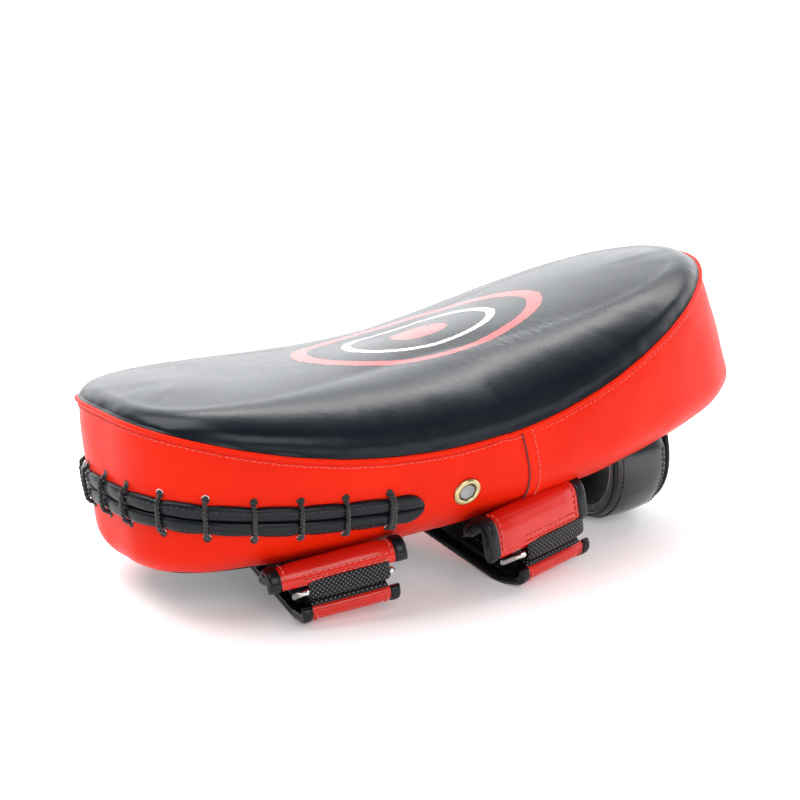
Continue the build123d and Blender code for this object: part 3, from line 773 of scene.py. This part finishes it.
def by_lacing(column, lift, stand):
    """A point of the skin beside the lacing's middle line, held out by stand, and its normal."""
    first = math.floor(column)
    part = column - first
    rows = np.arange(SEAM_ROW, BACK_ROW + 1)
    found = []
    for j in (first % COLUMNS, (first + 1) % COLUMNS):
        heights = body[rows, j, 2] - back_rise(body[rows, j, 0])
        wanted = lace_rise(body[LACE_GUIDE_ROW, j, 0]) + lift
        found.append(on_column(j, np.interp(-wanted, -heights, rows), stand))
    return [a * (1 - part) + b * part for a, b in zip(*found)]


def lip_width(place):
    """How wide the lips are at a column: pulled in at each crossing and full between them."""
    distance = (place - HALF_ROUND) * COLUMN_STEP
    pull = 0.5 + 0.5 * math.cos(2 * math.pi * distance / LACE_PITCH)
    ending = (tip_reach - abs(place - HALF_ROUND)) / 3.5
    return (1.0 - 0.09 * pull**3) * math.sqrt(max(0.03, min(1.0, ending * (2 - min(ending, 1.0)))))


def lace_lip(name, side, replaced):
    """One folded lip of the laced opening, thick and a little uneven along its length."""
    places = np.arange(HALF_ROUND - tip_reach, HALF_ROUND + tip_reach + 0.5, 0.5)
    points = []
    for place in places:
        width = lip_width(place)
        for across, stand in LIP_PROFILE:
            wave = 0.5 * wobble(place * COLUMN_STEP, side * 40.0 + across, 0.0, 9.0)
            points.append(by_lacing(place, side * across * width, (stand + wave) * (0.45 + 0.55 * width))[0])
    faces = tube_faces(len(places), len(LIP_PROFILE))
    piece = add_piece(name, (points, faces), BLACK_PLAIN, (replaced,))
    subdivided(piece)
    sewn = np.array([by_lacing(place, side * 5.6 * lip_width(place), 2.5) for place in places[8:-8]])
    stitches = stitch_parts(sewn[:, 0], sewn[:, 1], radius=0.3, lift=0.15)
    add_piece(f"{name}_stitching", stitches, THREAD_BLACK)


def crossing_column(number):
    """The column of one crossing, counted from the middle of the elbow end."""
    return HALF_ROUND - number * LACE_PITCH / COLUMN_STEP


def lacing():
    """The cord's whole route: in and out of each pair of holes, then on to the next pair inside."""
    last = CROSSINGS_EACH_WAY
    route = []
    for number in (-last - 0.06, *range(-last, last + 1), last + 0.06):
        for share, stand in CROSSING:
            column = crossing_column(number) - 0.15 * share
            route.append(by_lacing(column, share * LACE_HOLE, stand)[0])
    return smooth_path(route, 5)


def twisted_cord(path, radius, turn):
    """Two strands laid round each other along a path."""
    up = (0.31, 0.17, 0.93)
    lifts, sides = frames_along(path, up)
    strands = []
    for start in (0.0, math.pi):
        spin = (start + lengths_along(path) * 2 * math.pi / turn)[:, None]
        line = path + 0.5 * radius * (sides * np.cos(spin) + lifts * np.sin(spin))
        strands.append(tube_parts(line, up, 0.72 * radius, segments=8))
    return join_parts(strands)


def lace_hole(number, side):
    """A punched hole above or below a crossing as a disc of painted shade, and a pale crescent of painted
    glint on its rim.
    """
    column = crossing_column(number) - 0.15 * side
    centre, normal = by_lacing(column, side * (LACE_HOLE + 1.2), 0.25)
    above, _ = by_lacing(column, side * (LACE_HOLE + 2.2), 0.25)
    second = unit(above - centre)
    first = np.cross(second, normal)
    turns = full_turn(HOLE_POINTS)
    rim = [centre + first * 2.0 * math.cos(a) + second * 2.3 * math.sin(a) for a in turns]
    # Painted glint: a pale crescent on one side of the hole's rim.
    glint_rim = [p + second * 0.25 * side for p, a in zip(rim, turns) if side * math.sin(a) > 0.3]
    fan = [(0, i + 1, (i + 1) % HOLE_POINTS + 1) for i in range(HOLE_POINTS)]
    return ([centre - normal * 0.1] + rim, fan), tube_parts(glint_rim, normal, 0.26, segments=6)


lace_lip("lace_lip_upper", 1, "lace_strip_upper")
lace_lip("lace_lip_lower", -1, "lace_strip_lower")
cord_path = lacing()
cord_path = pick(cord_path, spaced(cord_path, 0.7))
cord = twisted_cord(cord_path, CORD_RADIUS, CORD_TURN)
add_piece("lacing_cord_strands", cord, CORD, ("lacing_cord",))
holes, edges = [], []
for number in range(-CROSSINGS_EACH_WAY, CROSSINGS_EACH_WAY + 1):
    for side in (-1, 1):
        hole, edge = lace_hole(number, side)
        holes.append(hole)
        # Painted glints go on every lower hole and on a few upper holes.
        if side < 0 or abs(number) in GLINT_CROSSINGS:
            edges.append(edge)
# Painted shade: dark discs on the skin stand for the punched holes.
add_piece("lace_holes", join_parts(holes), HOLE_SHADE)
add_piece("lace_hole_glints", join_parts(edges), GLINT_PALE)

# ---------------------------------------------------------------- vent eyelets
EYELET_X, EYELET_Y, EYELET_RISE = -24.0, 81.1, 28.3
EYELET_PROFILE = (
    (4.9, -1.6), (4.9, 0.4), (5.2, 1.15), (6.0, 1.5), (7.0, 1.35), (7.8, 0.75), (8.1, 0.0), (8.0, -1.6)
)
# The well is a shallow dark cup under the gauze: painted shade inside the vent.
WELL_PROFILE = ((0.01, 0.0), (4.95, 0.0), (4.95, -1.4), (0.01, -1.4))
GAUZE_RADIUS, GAUZE_PITCH, GAUZE_EACH_WAY = 4.2, 0.65, 6


def eyelet_frame(side):
    """Origin and axes of a vent eyelet on one long side, the last pointing out of the skin."""
    wanted = np.array((EYELET_X, side * EYELET_Y, EYELET_RISE + back_rise(EYELET_X)))
    points, normals = body[SEAM_ROW:BACK_ROW], body_normals[SEAM_ROW:BACK_ROW]
    off = np.linalg.norm(points - wanted, axis=2)
    outward = unit(normals[off < 9.0].mean(axis=0))
    rise = ((points[off < 6.0] - wanted) @ outward).max()
    first = unit(np.cross((0.0, 0.0, 1.0), outward))
    return wanted + outward * (rise + 0.15), first, np.cross(outward, first), outward


def lathe(profile, origin, first, second, axis, segments=56):
    """A profile of (radius, height) pairs turned round an axis."""
    points = []
    for turn in full_turn(segments):
        out = first * math.cos(turn) + second * math.sin(turn)
        points.extend(origin + out * radius + axis * height for radius, height in profile)
    return points, tube_faces(segments, len(profile), looped=True)


def gauze(origin, first, second, outward):
    """The woven wires of a vent's screen."""
    wires = []
    for number in range(-GAUZE_EACH_WAY, GAUZE_EACH_WAY + 1):
        across = number * GAUZE_PITCH
        half = math.sqrt(GAUZE_RADIUS**2 - across**2)
        steps = np.linspace(-half, half, 15)[:, None]
        for run, other, phase in ((first, second, 0), (second, first, 1)):
            height = 0.35 + 0.16 * np.cos(math.pi * (steps / GAUZE_PITCH + number + phase))
            wire = origin + run * steps + other * across + outward * height
            wires.append(tube_parts(wire, outward, 0.19, segments=6))
    return join_parts(wires)


eyelets = [eyelet_frame(side) for side in (-1, 1)]
rims = join_parts([lathe(EYELET_PROFILE, *place) for place in eyelets])
subdivided(add_piece("vent_eyelet_rims", rims, BRASS, ("vent_eyelets",)))
add_piece("vent_gauze", join_parts([gauze(*place) for place in eyelets]), GAUZE, ("vent_screens",))
# Painted shade: dark cups behind the gauze stand for the shade inside the vents.
add_piece("vent_wells", join_parts([lathe(WELL_PROFILE, *place, 32) for place in eyelets]), HOLE_SHADE)

# ---------------------------------------------------------------- forearm straps
# Each strap's middle and turn on the back, its ring's place along and below the pad, the slope of the
# wrap's run, and how far across the pad its root is sewn.
STRAPS = (
    dict(name="strap_1", number=1, x=-90.0, skew=-8.0, shift=5.0, ring=-1.5, slope=0.112, root=38.0),
    dict(name="strap_2", number=2, x=0.0, skew=15.0, shift=12.0, ring=-17.5, slope=0.39, root=32.0),
)
ANCHOR_WIDTH, WRAP_WIDTH, TONGUE_WIDTH, WEBBING_WIDTH = 76.0, 54.0, 42.0, 44.0
ANCHOR_THICK, WRAP_THICK, TAIL_THICK, WEBBING_THICK = 6.6, 3.5, 2.5, 1.6
ANCHOR_BINDING, WRAP_BINDING, BINDING_EXTRA, STITCH_INSET = 7.5, 6.0, 1.4, 1.5
OUTER_BAR, INNER_BAR, RUN_DROP, FOLD_START = -74.0, -58.0, 16.5, -56.0
BAR_REACH, HOOK_THICK = 5.45, 1.5
HEM_ROWS = (8.0, 11.2)   # heights over the ring's middle of the stitches that hold the webbing
HALF_BAND = 23   # points on each side of a band's section


def on_strap(strap, shift, across, height, place):
    """Pad-frame points from places across the pad, heights and places along the strap's width."""
    skew = math.radians(strap["skew"])
    along = shift + place
    x = strap["x"] + along * math.cos(skew) - across * math.sin(skew)
    y = along * math.sin(skew) + across * math.cos(skew)
    return np.stack(np.broadcast_arrays(x, y, height), -1)


def strap_direction(strap, across, up):
    """Pad-frame directions from parts across the pad and upwards, turned with the strap."""
    skew = math.radians(strap["skew"])
    return np.stack(np.broadcast_arrays(-across * math.sin(skew), across * math.cos(skew), up), -1)


def rounded(points, radii, step=2.2):
    """A polyline with rounded corners as evenly spaced points."""
    points = [np.array(p, float) for p in points]
    path = [points[0]]
    for before, corner, after, radius in zip(points, points[1:], points[2:], radii):
        come, go = unit(corner - before), unit(after - corner)
        back = radius * math.tan(math.acos(max(-1.0, min(1.0, float(come @ go)))) / 2)
        start, stop = corner - come * back, corner + go * back
        for t in np.linspace(0, 1, 9):
            path.append((1 - t) ** 2 * start + 2 * t * (1 - t) * corner + t**2 * stop)
    path.append(points[-1])
    return pick(path, spaced(path, step))


def path_normals(path):
    """Directions square to a flat path."""
    tangents = unit(np.gradient(path, axis=0))
    return np.stack([-tangents[:, 1], tangents[:, 0]], 1)


def band_section():
    """Places from -1 to 1 round a band's section, closer together at its edges, and their sides."""
    places = np.linspace(-1, 1, HALF_BAND)
    places = np.sign(places) * (1 - (1 - np.abs(places)) ** 1.35)
    return list(zip(places, [1] * HALF_BAND)) + list(zip(places[::-1], [-1] * HALF_BAND))


def half_thickness(place, e, thick, power, channels, puff):
    """Half a band's thickness at a place of its section, e millimetres along its width."""
    height = thick / 2 * max(0.0, 1 - abs(place) ** power) ** (1 / 2.2)
    for channel in channels:
        height *= 1 - 0.3 * math.exp(-(((e - channel) / 1.6) ** 2))
    return height * (1 + puff * (1 - place**2))


def band(
    name, strap, shift, path, edges, thick, material, nodes=(), body="pad",
    puff=0.0, channels=(), wave=0.3, power=7.0, arch=0.0, lined=0, taper=0.0,
):
    """A flat, slightly padded band that follows a path between two edges of the strap's width.

    It is pinched at stitched channels and bowed by arch, lined is the side, 1 or -1, that is black,
    and taper is the length over which it narrows towards its root; near its root a lined band
    is black on both sides, as painted shade under the body.
    """
    middle, half = sum(edges) / 2, (edges[1] - edges[0]) / 2
    lengths, section = lengths_along(path), band_section()
    points, keys = [], []
    for spot, out, gone in zip(path, path_normals(path), lengths):
        end = min(gone, lengths[-1] - gone)
        swell = 0.35 + 0.65 * min(1.0, math.sqrt(end / 3.0 + 0.02))
        grown = min(1.0, gone / taper) if taper else 1.0
        swell *= 0.3 + 0.7 * grown**2
        for place, side in section:
            e = middle + half * place * (0.68 + 0.32 * grown)
            off = side * swell * half_thickness(place, e, thick, power, channels, puff)
            off += wave * wobble(gone, e, strap["x"] + 7 * side, 17.0)
            bow = arch * (1 - place**2)
            points.append(on_strap(strap, shift, spot[0] + out[0] * off - bow, spot[1] + out[1] * off, e))
            keys.append((gone, e, 0))
    parts = points, tube_faces(len(path), len(section))
    piece = add_piece(name, parts, material, nodes, body, {"cloth": keys})
    if lined:
        piece.data.materials.append(LINING)
        for face in piece.data.polygons:
            rows, spots = zip(*(divmod(v, len(section)) for v in face.vertices))
            # Painted shade: the stretch near the root, under the body, is black lining on both sides.
            root_in_shade = all(lengths[i] < 0.75 * taper for i in rows)
            if root_in_shade or all(section[j][1] == lined for j in spots):
                face.material_index = 1
    return piece


def stitch_pair(name, strap, shift, path, place, off, material=THREAD_RED, body="pad"):
    """Rows of stitches near both edges of a band, on the side given by the sign of off."""
    normals = path_normals(path)
    across, height = (path + normals * off).T
    ups = strap_direction(strap, *np.sign(off) * normals.T)
    for end, spot in (("n", -place), ("p", place)):
        stitches = stitch_parts(on_strap(strap, shift, across, height, spot), ups)
        add_piece(f"{name}_{end}", stitches, material, body=body)


def binding_pair(name, strap, shift, path, half, width, thick, wave):
    """Black bindings over both edges of a band; the first one stands in for the CAD node."""
    for number, edges in enumerate(((-half, width - half), (half - width, half))):
        band(
            f"{name}_{number}", strap, shift, path, edges, thick + BINDING_EXTRA, BINDING,
            () if number else (name,), wave=wave, power=4.0,
        )


def on_run(strap, distance, height):
    """A point over the wrap strap's straight run, measured from its near end."""
    length = math.sqrt(1 + strap["slope"] ** 2)
    run, rise = 1 / length, strap["slope"] / length
    across = FOLD_START + distance * run - height * rise
    return across, strap["ring"] - RUN_DROP + distance * rise + height * run


def build_anchor(strap):
    """The padded anchor tab that hangs from the back, with the webbing sewn under its lower edge."""
    name, ring, surface, half = strap["name"], strap["ring"], back_rise(strap["x"]), ANCHOR_WIDTH / 2
    corners = ((-34, surface - 5.6), (-50, surface - 5.2), (-75.2, surface + 11.0), (-75.2, ring + 4.6))
    path = rounded(corners, (10, 6))
    sewn = half - ANCHOR_BINDING - STITCH_INSET
    piece = band(
        f"{name}_anchor_panel", strap, 0, path, (1 - half, half - 1), ANCHOR_THICK, RED_STRAP,
        nodes=(f"{name}_anchor",), puff=0.12, channels=(-sewn, sewn), lined=1, taper=32.0,
    )
    bound, hanging = path[path[:, 0] < -59], path[path[:, 0] < -67][:-1]
    binding_pair(f"{name}_anchor_binding", strap, 0, bound, half, ANCHOR_BINDING, ANCHOR_THICK, 0.15)
    stitch_pair(f"{name}_anchor_stitch", strap, 0, hanging, sewn, -0.42 * ANCHOR_THICK)
    half_hem = WEBBING_WIDTH / 2 + 2
    places = np.linspace(-half_hem, min(half_hem, sewn - strap["shift"]), 40)
    ups = strap_direction(strap, np.full(40, -1.0), 0.0)
    across = OUTER_BAR - 1.2 - 0.54 * ANCHOR_THICK
    for row, height in enumerate(HEM_ROWS):
        line = on_strap(strap, strap["shift"], across, ring + height, places)
        add_piece(f"{name}_hem_stitch_{row}", stitch_parts(line, ups), THREAD_RED)


def build_webbing(strap):
    """The webbing loop that holds the ring's outer bar."""
    ring, half = strap["ring"], WEBBING_WIDTH / 2
    loop = [(-77.4, ring + 7.0), (-77.3, ring + 3.0)]
    loop += [(OUTER_BAR - 3.25 * math.cos(a), ring - 3.25 * math.sin(a)) for a in np.linspace(0, math.pi, 12)]
    loop += [(-71.2, ring + 3.0), (-72.4, ring + 5.5)]
    band(
        f"{strap['name']}_webbing_loop", strap, strap["shift"], smooth_path(loop, 3), (-half, half),
        WEBBING_THICK, WEBBING, (f"{strap['name']}_webbing",), wave=0.1, power=14.0, arch=1.6,
    )


def build_wrap(strap):
    """The wrap strap from its root on the back, down its run and up to the ring."""
    name, ring, shift, root = (strap[key] for key in ("name", "ring", "shift", "root"))
    surface, half = back_rise(strap["x"]), WRAP_WIDTH / 2
    climb = on_run(strap, (root - 8 - FOLD_START) * math.sqrt(1 + strap["slope"] ** 2), 0)
    corners = (
        (root + 8, surface - 1.5), (root, surface - 3), climb, on_run(strap, 0, 0),
        (-74.5, ring - RUN_DROP + 1.5), (-74.5, ring - 8),
    )
    path = rounded(corners, (3, 6, 12, 6))
    sewn = half - WRAP_BINDING - STITCH_INSET
    piece = band(
        f"{name}_wrap_panel", strap, shift, path, (1 - half, half - 1), WRAP_THICK, RED_STRAP,
        nodes=(f"{name}_wrap",), puff=0.1, channels=(-sewn, sewn), lined=-1,
    )
    binding_pair(f"{name}_wrap_binding", strap, shift, path, half, WRAP_BINDING, WRAP_THICK, 0.1)
    stitch_pair(f"{name}_wrap_stitch", strap, shift, path[4:-1], sewn, WRAP_THICK / 2)


def build_tail(strap):
    """The tongue that runs into the ring, and the tail folded round its inner bar."""
    name, ring, shift, half = strap["name"], strap["ring"], strap["shift"], TONGUE_WIDTH / 2
    tongue = rounded(((-74.5, ring - 9), (-73.4, ring - 7), (-66, ring - 3.5)), (1.5,), 0.8)
    edges = -half, half
    band(
        f"{name}_tongue", strap, shift, tongue, edges, TAIL_THICK, WEBBING, wave=0.1, power=14.0
    )
    height = (WRAP_THICK + TAIL_THICK) / 2 + HOOK_THICK + 0.8
    bar, right = ring - 7.5, INNER_BAR + BAR_REACH
    left = INNER_BAR - BAR_REACH
    foot_across, foot_height = on_run(strap, 0, height)
    corners = (
        (left, bar - 3), (left, bar + BAR_REACH), (right, bar + BAR_REACH),
        (right, foot_height + (right - foot_across) * strap["slope"]), on_run(strap, 36, height),
    )
    tail = rounded(corners, (5.3, 5.3, 1.3), 1.4)
    sewn, body_name = half - 4, f"tail_{strap['number']}"
    # Painted shade: the tail is black lining all over, though its outer face is red vinyl, because it lies in
    # shade inside the loop.
    band(
        f"{name}_tail_panel", strap, shift, tail, edges, TAIL_THICK, LINING,
        (f"{name}_tail",), body_name, channels=(-sewn, sewn), wave=0.12, power=9.0,
    )
    stitch_pair(
        f"{name}_tail_stitch", strap, shift, tail[-18:-1], sewn, 0.45 * TAIL_THICK,
        THREAD_BLACK, body_name,
    )


for strap in STRAPS:
    build_anchor(strap)
    build_webbing(strap)
    build_wrap(strap)
    build_tail(strap)

# ---------------------------------------------------------------- grip
GRIP_X, GRIP_CENTRE, GRIP_OUTER, GRIP_INNER, GRIP_HALF = 111.0, 3.8, 44.5, 28.5, 18.0
GRIP_MIDDLE, GRIP_DEPTH = (GRIP_OUTER + GRIP_INNER) / 2, (GRIP_OUTER - GRIP_INNER) / 2
STATIONS, RING = 90, 40


def on_arch(turn, out, along):
    """A point of the grip: turn 0 is at its near side and 180 degrees at its far side, underneath."""
    radius = GRIP_MIDDLE + out
    return GRIP_X + along, -radius * math.cos(turn), GRIP_CENTRE - radius * math.sin(turn)


def build_sleeve():
    """The grip's padded sleeve, wrinkled across where it bends and lined on its inner half."""
    points, keys = [], []
    for i in range(STATIONS):
        turn = math.radians(-14 + 208 * i / (STATIONS - 1))
        arc = turn * 37.5
        end = min(i, STATIONS - 1 - i) / 10
        shrink = 1 - 0.12 * max(0.0, 1 - end * 1.6)
        for j in range(RING):
            a = 2 * math.pi * j / RING
            c, s = math.cos(a), math.sin(a)
            along = GRIP_HALF * math.copysign(abs(c) ** 0.8, c)
            out = GRIP_DEPTH * math.copysign(abs(s) ** 0.8, s)
            fold = wobble(arc, along * 0.35, 4.0, 6.5) + 0.6 * wobble(arc, along * 0.5, 8.0, 3.8)
            gain = (0.45 if s < 0 else 0.2475) * fold * min(1.0, end)
            points.append(on_arch(turn, out * shrink + gain * s, along * shrink + 0.25 * fold * c))
            keys.append((arc, a * 9, 0))
    parts = points, tube_faces(STATIONS, RING)
    nodes = ("grip_cover", "grip_core")
    sleeve = add_piece("grip_sleeve", parts, GRIP_VINYL, nodes, attributes={"cloth": keys})
    sleeve.data.materials.append(LINING)
    for face in sleeve.data.polygons:
        if len(face.vertices) == 4 and all(v % RING > RING // 2 for v in face.vertices):
            face.material_index = 1


def build_grip_edge(number, side):
    """The piping and the row of stitches along one edge of the grip."""
    turns = np.radians(np.linspace(-12, 192, 136))   # a little past both ends, into the body
    line = [on_arch(turn, 3.6, side * (GRIP_HALF - 0.3)) for turn in turns]
    nodes = () if number else ("grip_piping",)
    piping = tube_parts(line, (side, 0.0, 0.0), 1.5)
    add_piece(f"grip_piping_{number}", piping, BLACK_PLAIN, nodes)
    line = [on_arch(turn, 5.9, side * (GRIP_HALF - 4.5)) for turn in turns[8:-8]]
    ups = [(0.0, -math.cos(turn), -math.sin(turn)) for turn in turns[8:-8]]
    stitches = stitch_parts(line, ups, lift=0.7)
    add_piece(f"grip_stitching_{number}", stitches, THREAD_BLACK)


build_sleeve()
for number, side in enumerate((-1, 1)):
    build_grip_edge(number, side)

# ---------------------------------------------------------------- patches sewn on the back
PATCH_THICK, TAB_Y = 1.2, 46.0
back_points = body[SEAM_ROW + SIDE_ROWS :].reshape(-1, 3)


def under_skin(x, y):
    """Height of the underside of the skin at a place."""
    off = np.hypot(back_points[:, 0] - x, back_points[:, 1] - y)
    near = np.argsort(off)[:6]
    shares = 1 / (off[near] + 0.5) ** 2
    return float((back_points[near, 2] * shares).sum() / shares.sum())


def sewn_patch(name, replaced, footprints):
    """Thin vinyl patches on the back, each from a middle, half sizes and a turn in degrees."""
    parts = []
    for (x, y), (half_long, half_short), turn in footprints:
        c, s = math.cos(math.radians(turn)), math.sin(math.radians(turn))
        along, across = np.linspace(-half_long, half_long, 19), np.linspace(-half_short, half_short, 7)
        places = [(x + a * c - b * s, y + a * s + b * c) for a in along for b in across]
        points = [(*spot, under_skin(*spot) - 0.2) for spot in places]
        parts.append((points, grid_faces(len(along), len(across))))
    piece = add_piece(name, join_parts(parts), BLACK_PLAIN, (replaced,))
    add_modifier(piece, "SOLIDIFY", thickness=PATCH_THICK / 1000, offset=1)
    subdivided(piece)


footprints = []
for strap in STRAPS:
    for shift, half, start, stop in (
        (0.0, ANCHOR_WIDTH / 2 + 2, -46, -30),
        (strap["shift"], WRAP_WIDTH / 2 + 3, strap["root"] + 2, strap["root"] + 12),
    ):
        middle = on_strap(strap, shift, (start + stop) / 2, 0.0, 0.0)
        footprints.append((middle[:2], (half, (stop - start) / 2), strap["skew"]))
sewn_patch("strap_root_patch_vinyl", "strap_root_patches", footprints)
tabs = [((GRIP_X, side * TAB_Y), (GRIP_HALF - 5, 4.0), 0.0) for side in (-1, 1)]
sewn_patch("grip_tab_vinyl", "grip_tabs", tabs)

# ---------------------------------------------------------------- carried-over CAD nodes
for material, names in (
    (WIRE, ("strap_1_ring", "strap_2_ring")),
    (NAP, ("strap_1_loop_patch", "strap_2_loop_patch", "strap_1_hook_patch", "strap_2_hook_patch")),
    (BRASS, ("vent_washers",)),
    (THREAD_BLACK, ("grip_webbing",)),
):
    for name in names:
        mesh = frame["nodes"][name].data
        mesh.materials.clear()
        mesh.materials.append(material)
        mesh.shade_smooth()

# ---------------------------------------------------------------- floor and light
FRONT_GLOW, BACK_GLOW, HIGH_SHARE = 0.45, 3.3, 0.25
AWAY = (0.72, 0.68, 0.12)   # from the front of the studio to its bright back wall
PALE = fibre("pale_floor", (0.9, 0.9, 0.91), (0.88, 0.88, 0.89), 0.9, 30.0, glow=0.17)
FLOOR_CORNERS = [(-6, -4, 0), (6, -4, 0), (6, 9, 0), (-6, 9, 0)]
floor = mesh_object("floor", FLOOR_CORNERS, [(0, 1, 2, 3)], PALE, body=None, closed=False)


def area_light(name, place, size, power):
    """A soft rectangular light aimed at the pad."""
    lamp = bpy.data.lights.new(name, "AREA")
    lamp.shape = "RECTANGLE"
    lamp.size, lamp.size_y = size
    lamp.energy = power
    holder = bpy.data.objects.new(name, lamp)
    holder.location = place
    holder.rotation_euler = (Vector((0, 0, 0.05)) - Vector(place)).to_track_quat("-Z", "Y").to_euler()
    bpy.context.collection.objects.link(holder)


def studio():
    """A pale room: dim at the front, bright along the back wall, dimmer again overhead."""
    room = bpy.data.worlds.new("studio")
    room.use_nodes = True
    tree = room.node_tree
    direction = node(tree, "ShaderNodeTexCoord").outputs["Generated"]
    away = node(tree, "ShaderNodeVectorMath", operation="DOT_PRODUCT")
    tree.links.new(direction, away.inputs[0])
    away.inputs[1].default_value = AWAY
    split = node(tree, "ShaderNodeSeparateXYZ")
    tree.links.new(direction, split.inputs[0])
    wall = map_range(tree, away.outputs["Value"], 0.0, 0.8, FRONT_GLOW, BACK_GLOW, "SMOOTHSTEP")
    high = map_range(tree, split.outputs[2], 0.38, 0.55, 1.0, HIGH_SHARE, "SMOOTHSTEP")
    background = tree.nodes["Background"]
    background.inputs[0].default_value = (0.97, 0.985, 1.0, 1)
    tree.links.new(maths(tree, "MULTIPLY", wall, high), background.inputs[1])
    bpy.context.scene.world = room


studio()
bpy.context.scene.view_settings.view_transform = "Standard"
area_light("overhead", (-0.75, 0.45, 1.5), (1.5, 1.3), 34)
area_light("strip", (0.78, 0.6, 1.25), (1.7, 0.34), 20)
area_light("front", (-0.25, -1.45, 1.05), (1.3, 0.9), 14)

# ---------------------------------------------------------------- camera
# Its place is worked out in a frame that is pitched about the pad's width.
AZIMUTH, ELEVATION, PITCH = math.radians(30.3), math.radians(13.0), math.radians(8.32)
DISTANCE, PITCH_DROP, MODEL_SCALE = 1506.0, 50.0, 0.95
FOCAL_SHARE, SENSOR, SHIFT = 3.277, 36.0, (-0.043, 0.0151)


def unpitched(vector, drop=0.0):
    """A vector of the pitched frame in the pad frame."""
    x, y, z = vector
    z += drop
    c, s = math.cos(PITCH), math.sin(PITCH)
    return np.array((x * c + z * s, y, -x * s + z * c))


level = math.cos(ELEVATION)
forward = np.array((math.sin(AZIMUTH) * level, math.cos(AZIMUTH) * level, -math.sin(ELEVATION)))
right = np.array((math.cos(AZIMUTH), -math.sin(AZIMUTH), 0.0))
axes = [unpitched(v) @ PAD_TO_WORLD for v in (right, np.cross(right, forward), -forward)]
place = world(MODEL_SCALE * unpitched(-forward * DISTANCE, PITCH_DROP))
camera_data = bpy.data.cameras.new("camera")
camera_data.lens = FOCAL_SHARE * SENSOR
camera_data.shift_x, camera_data.shift_y = SHIFT
camera_data.clip_end = 50.0
camera = bpy.data.objects.new("camera", camera_data)
camera.matrix_world = Matrix.Translation(place) @ Matrix(axes).transposed().to_4x4()
bpy.context.collection.objects.link(camera)
bpy.context.scene.camera = camera
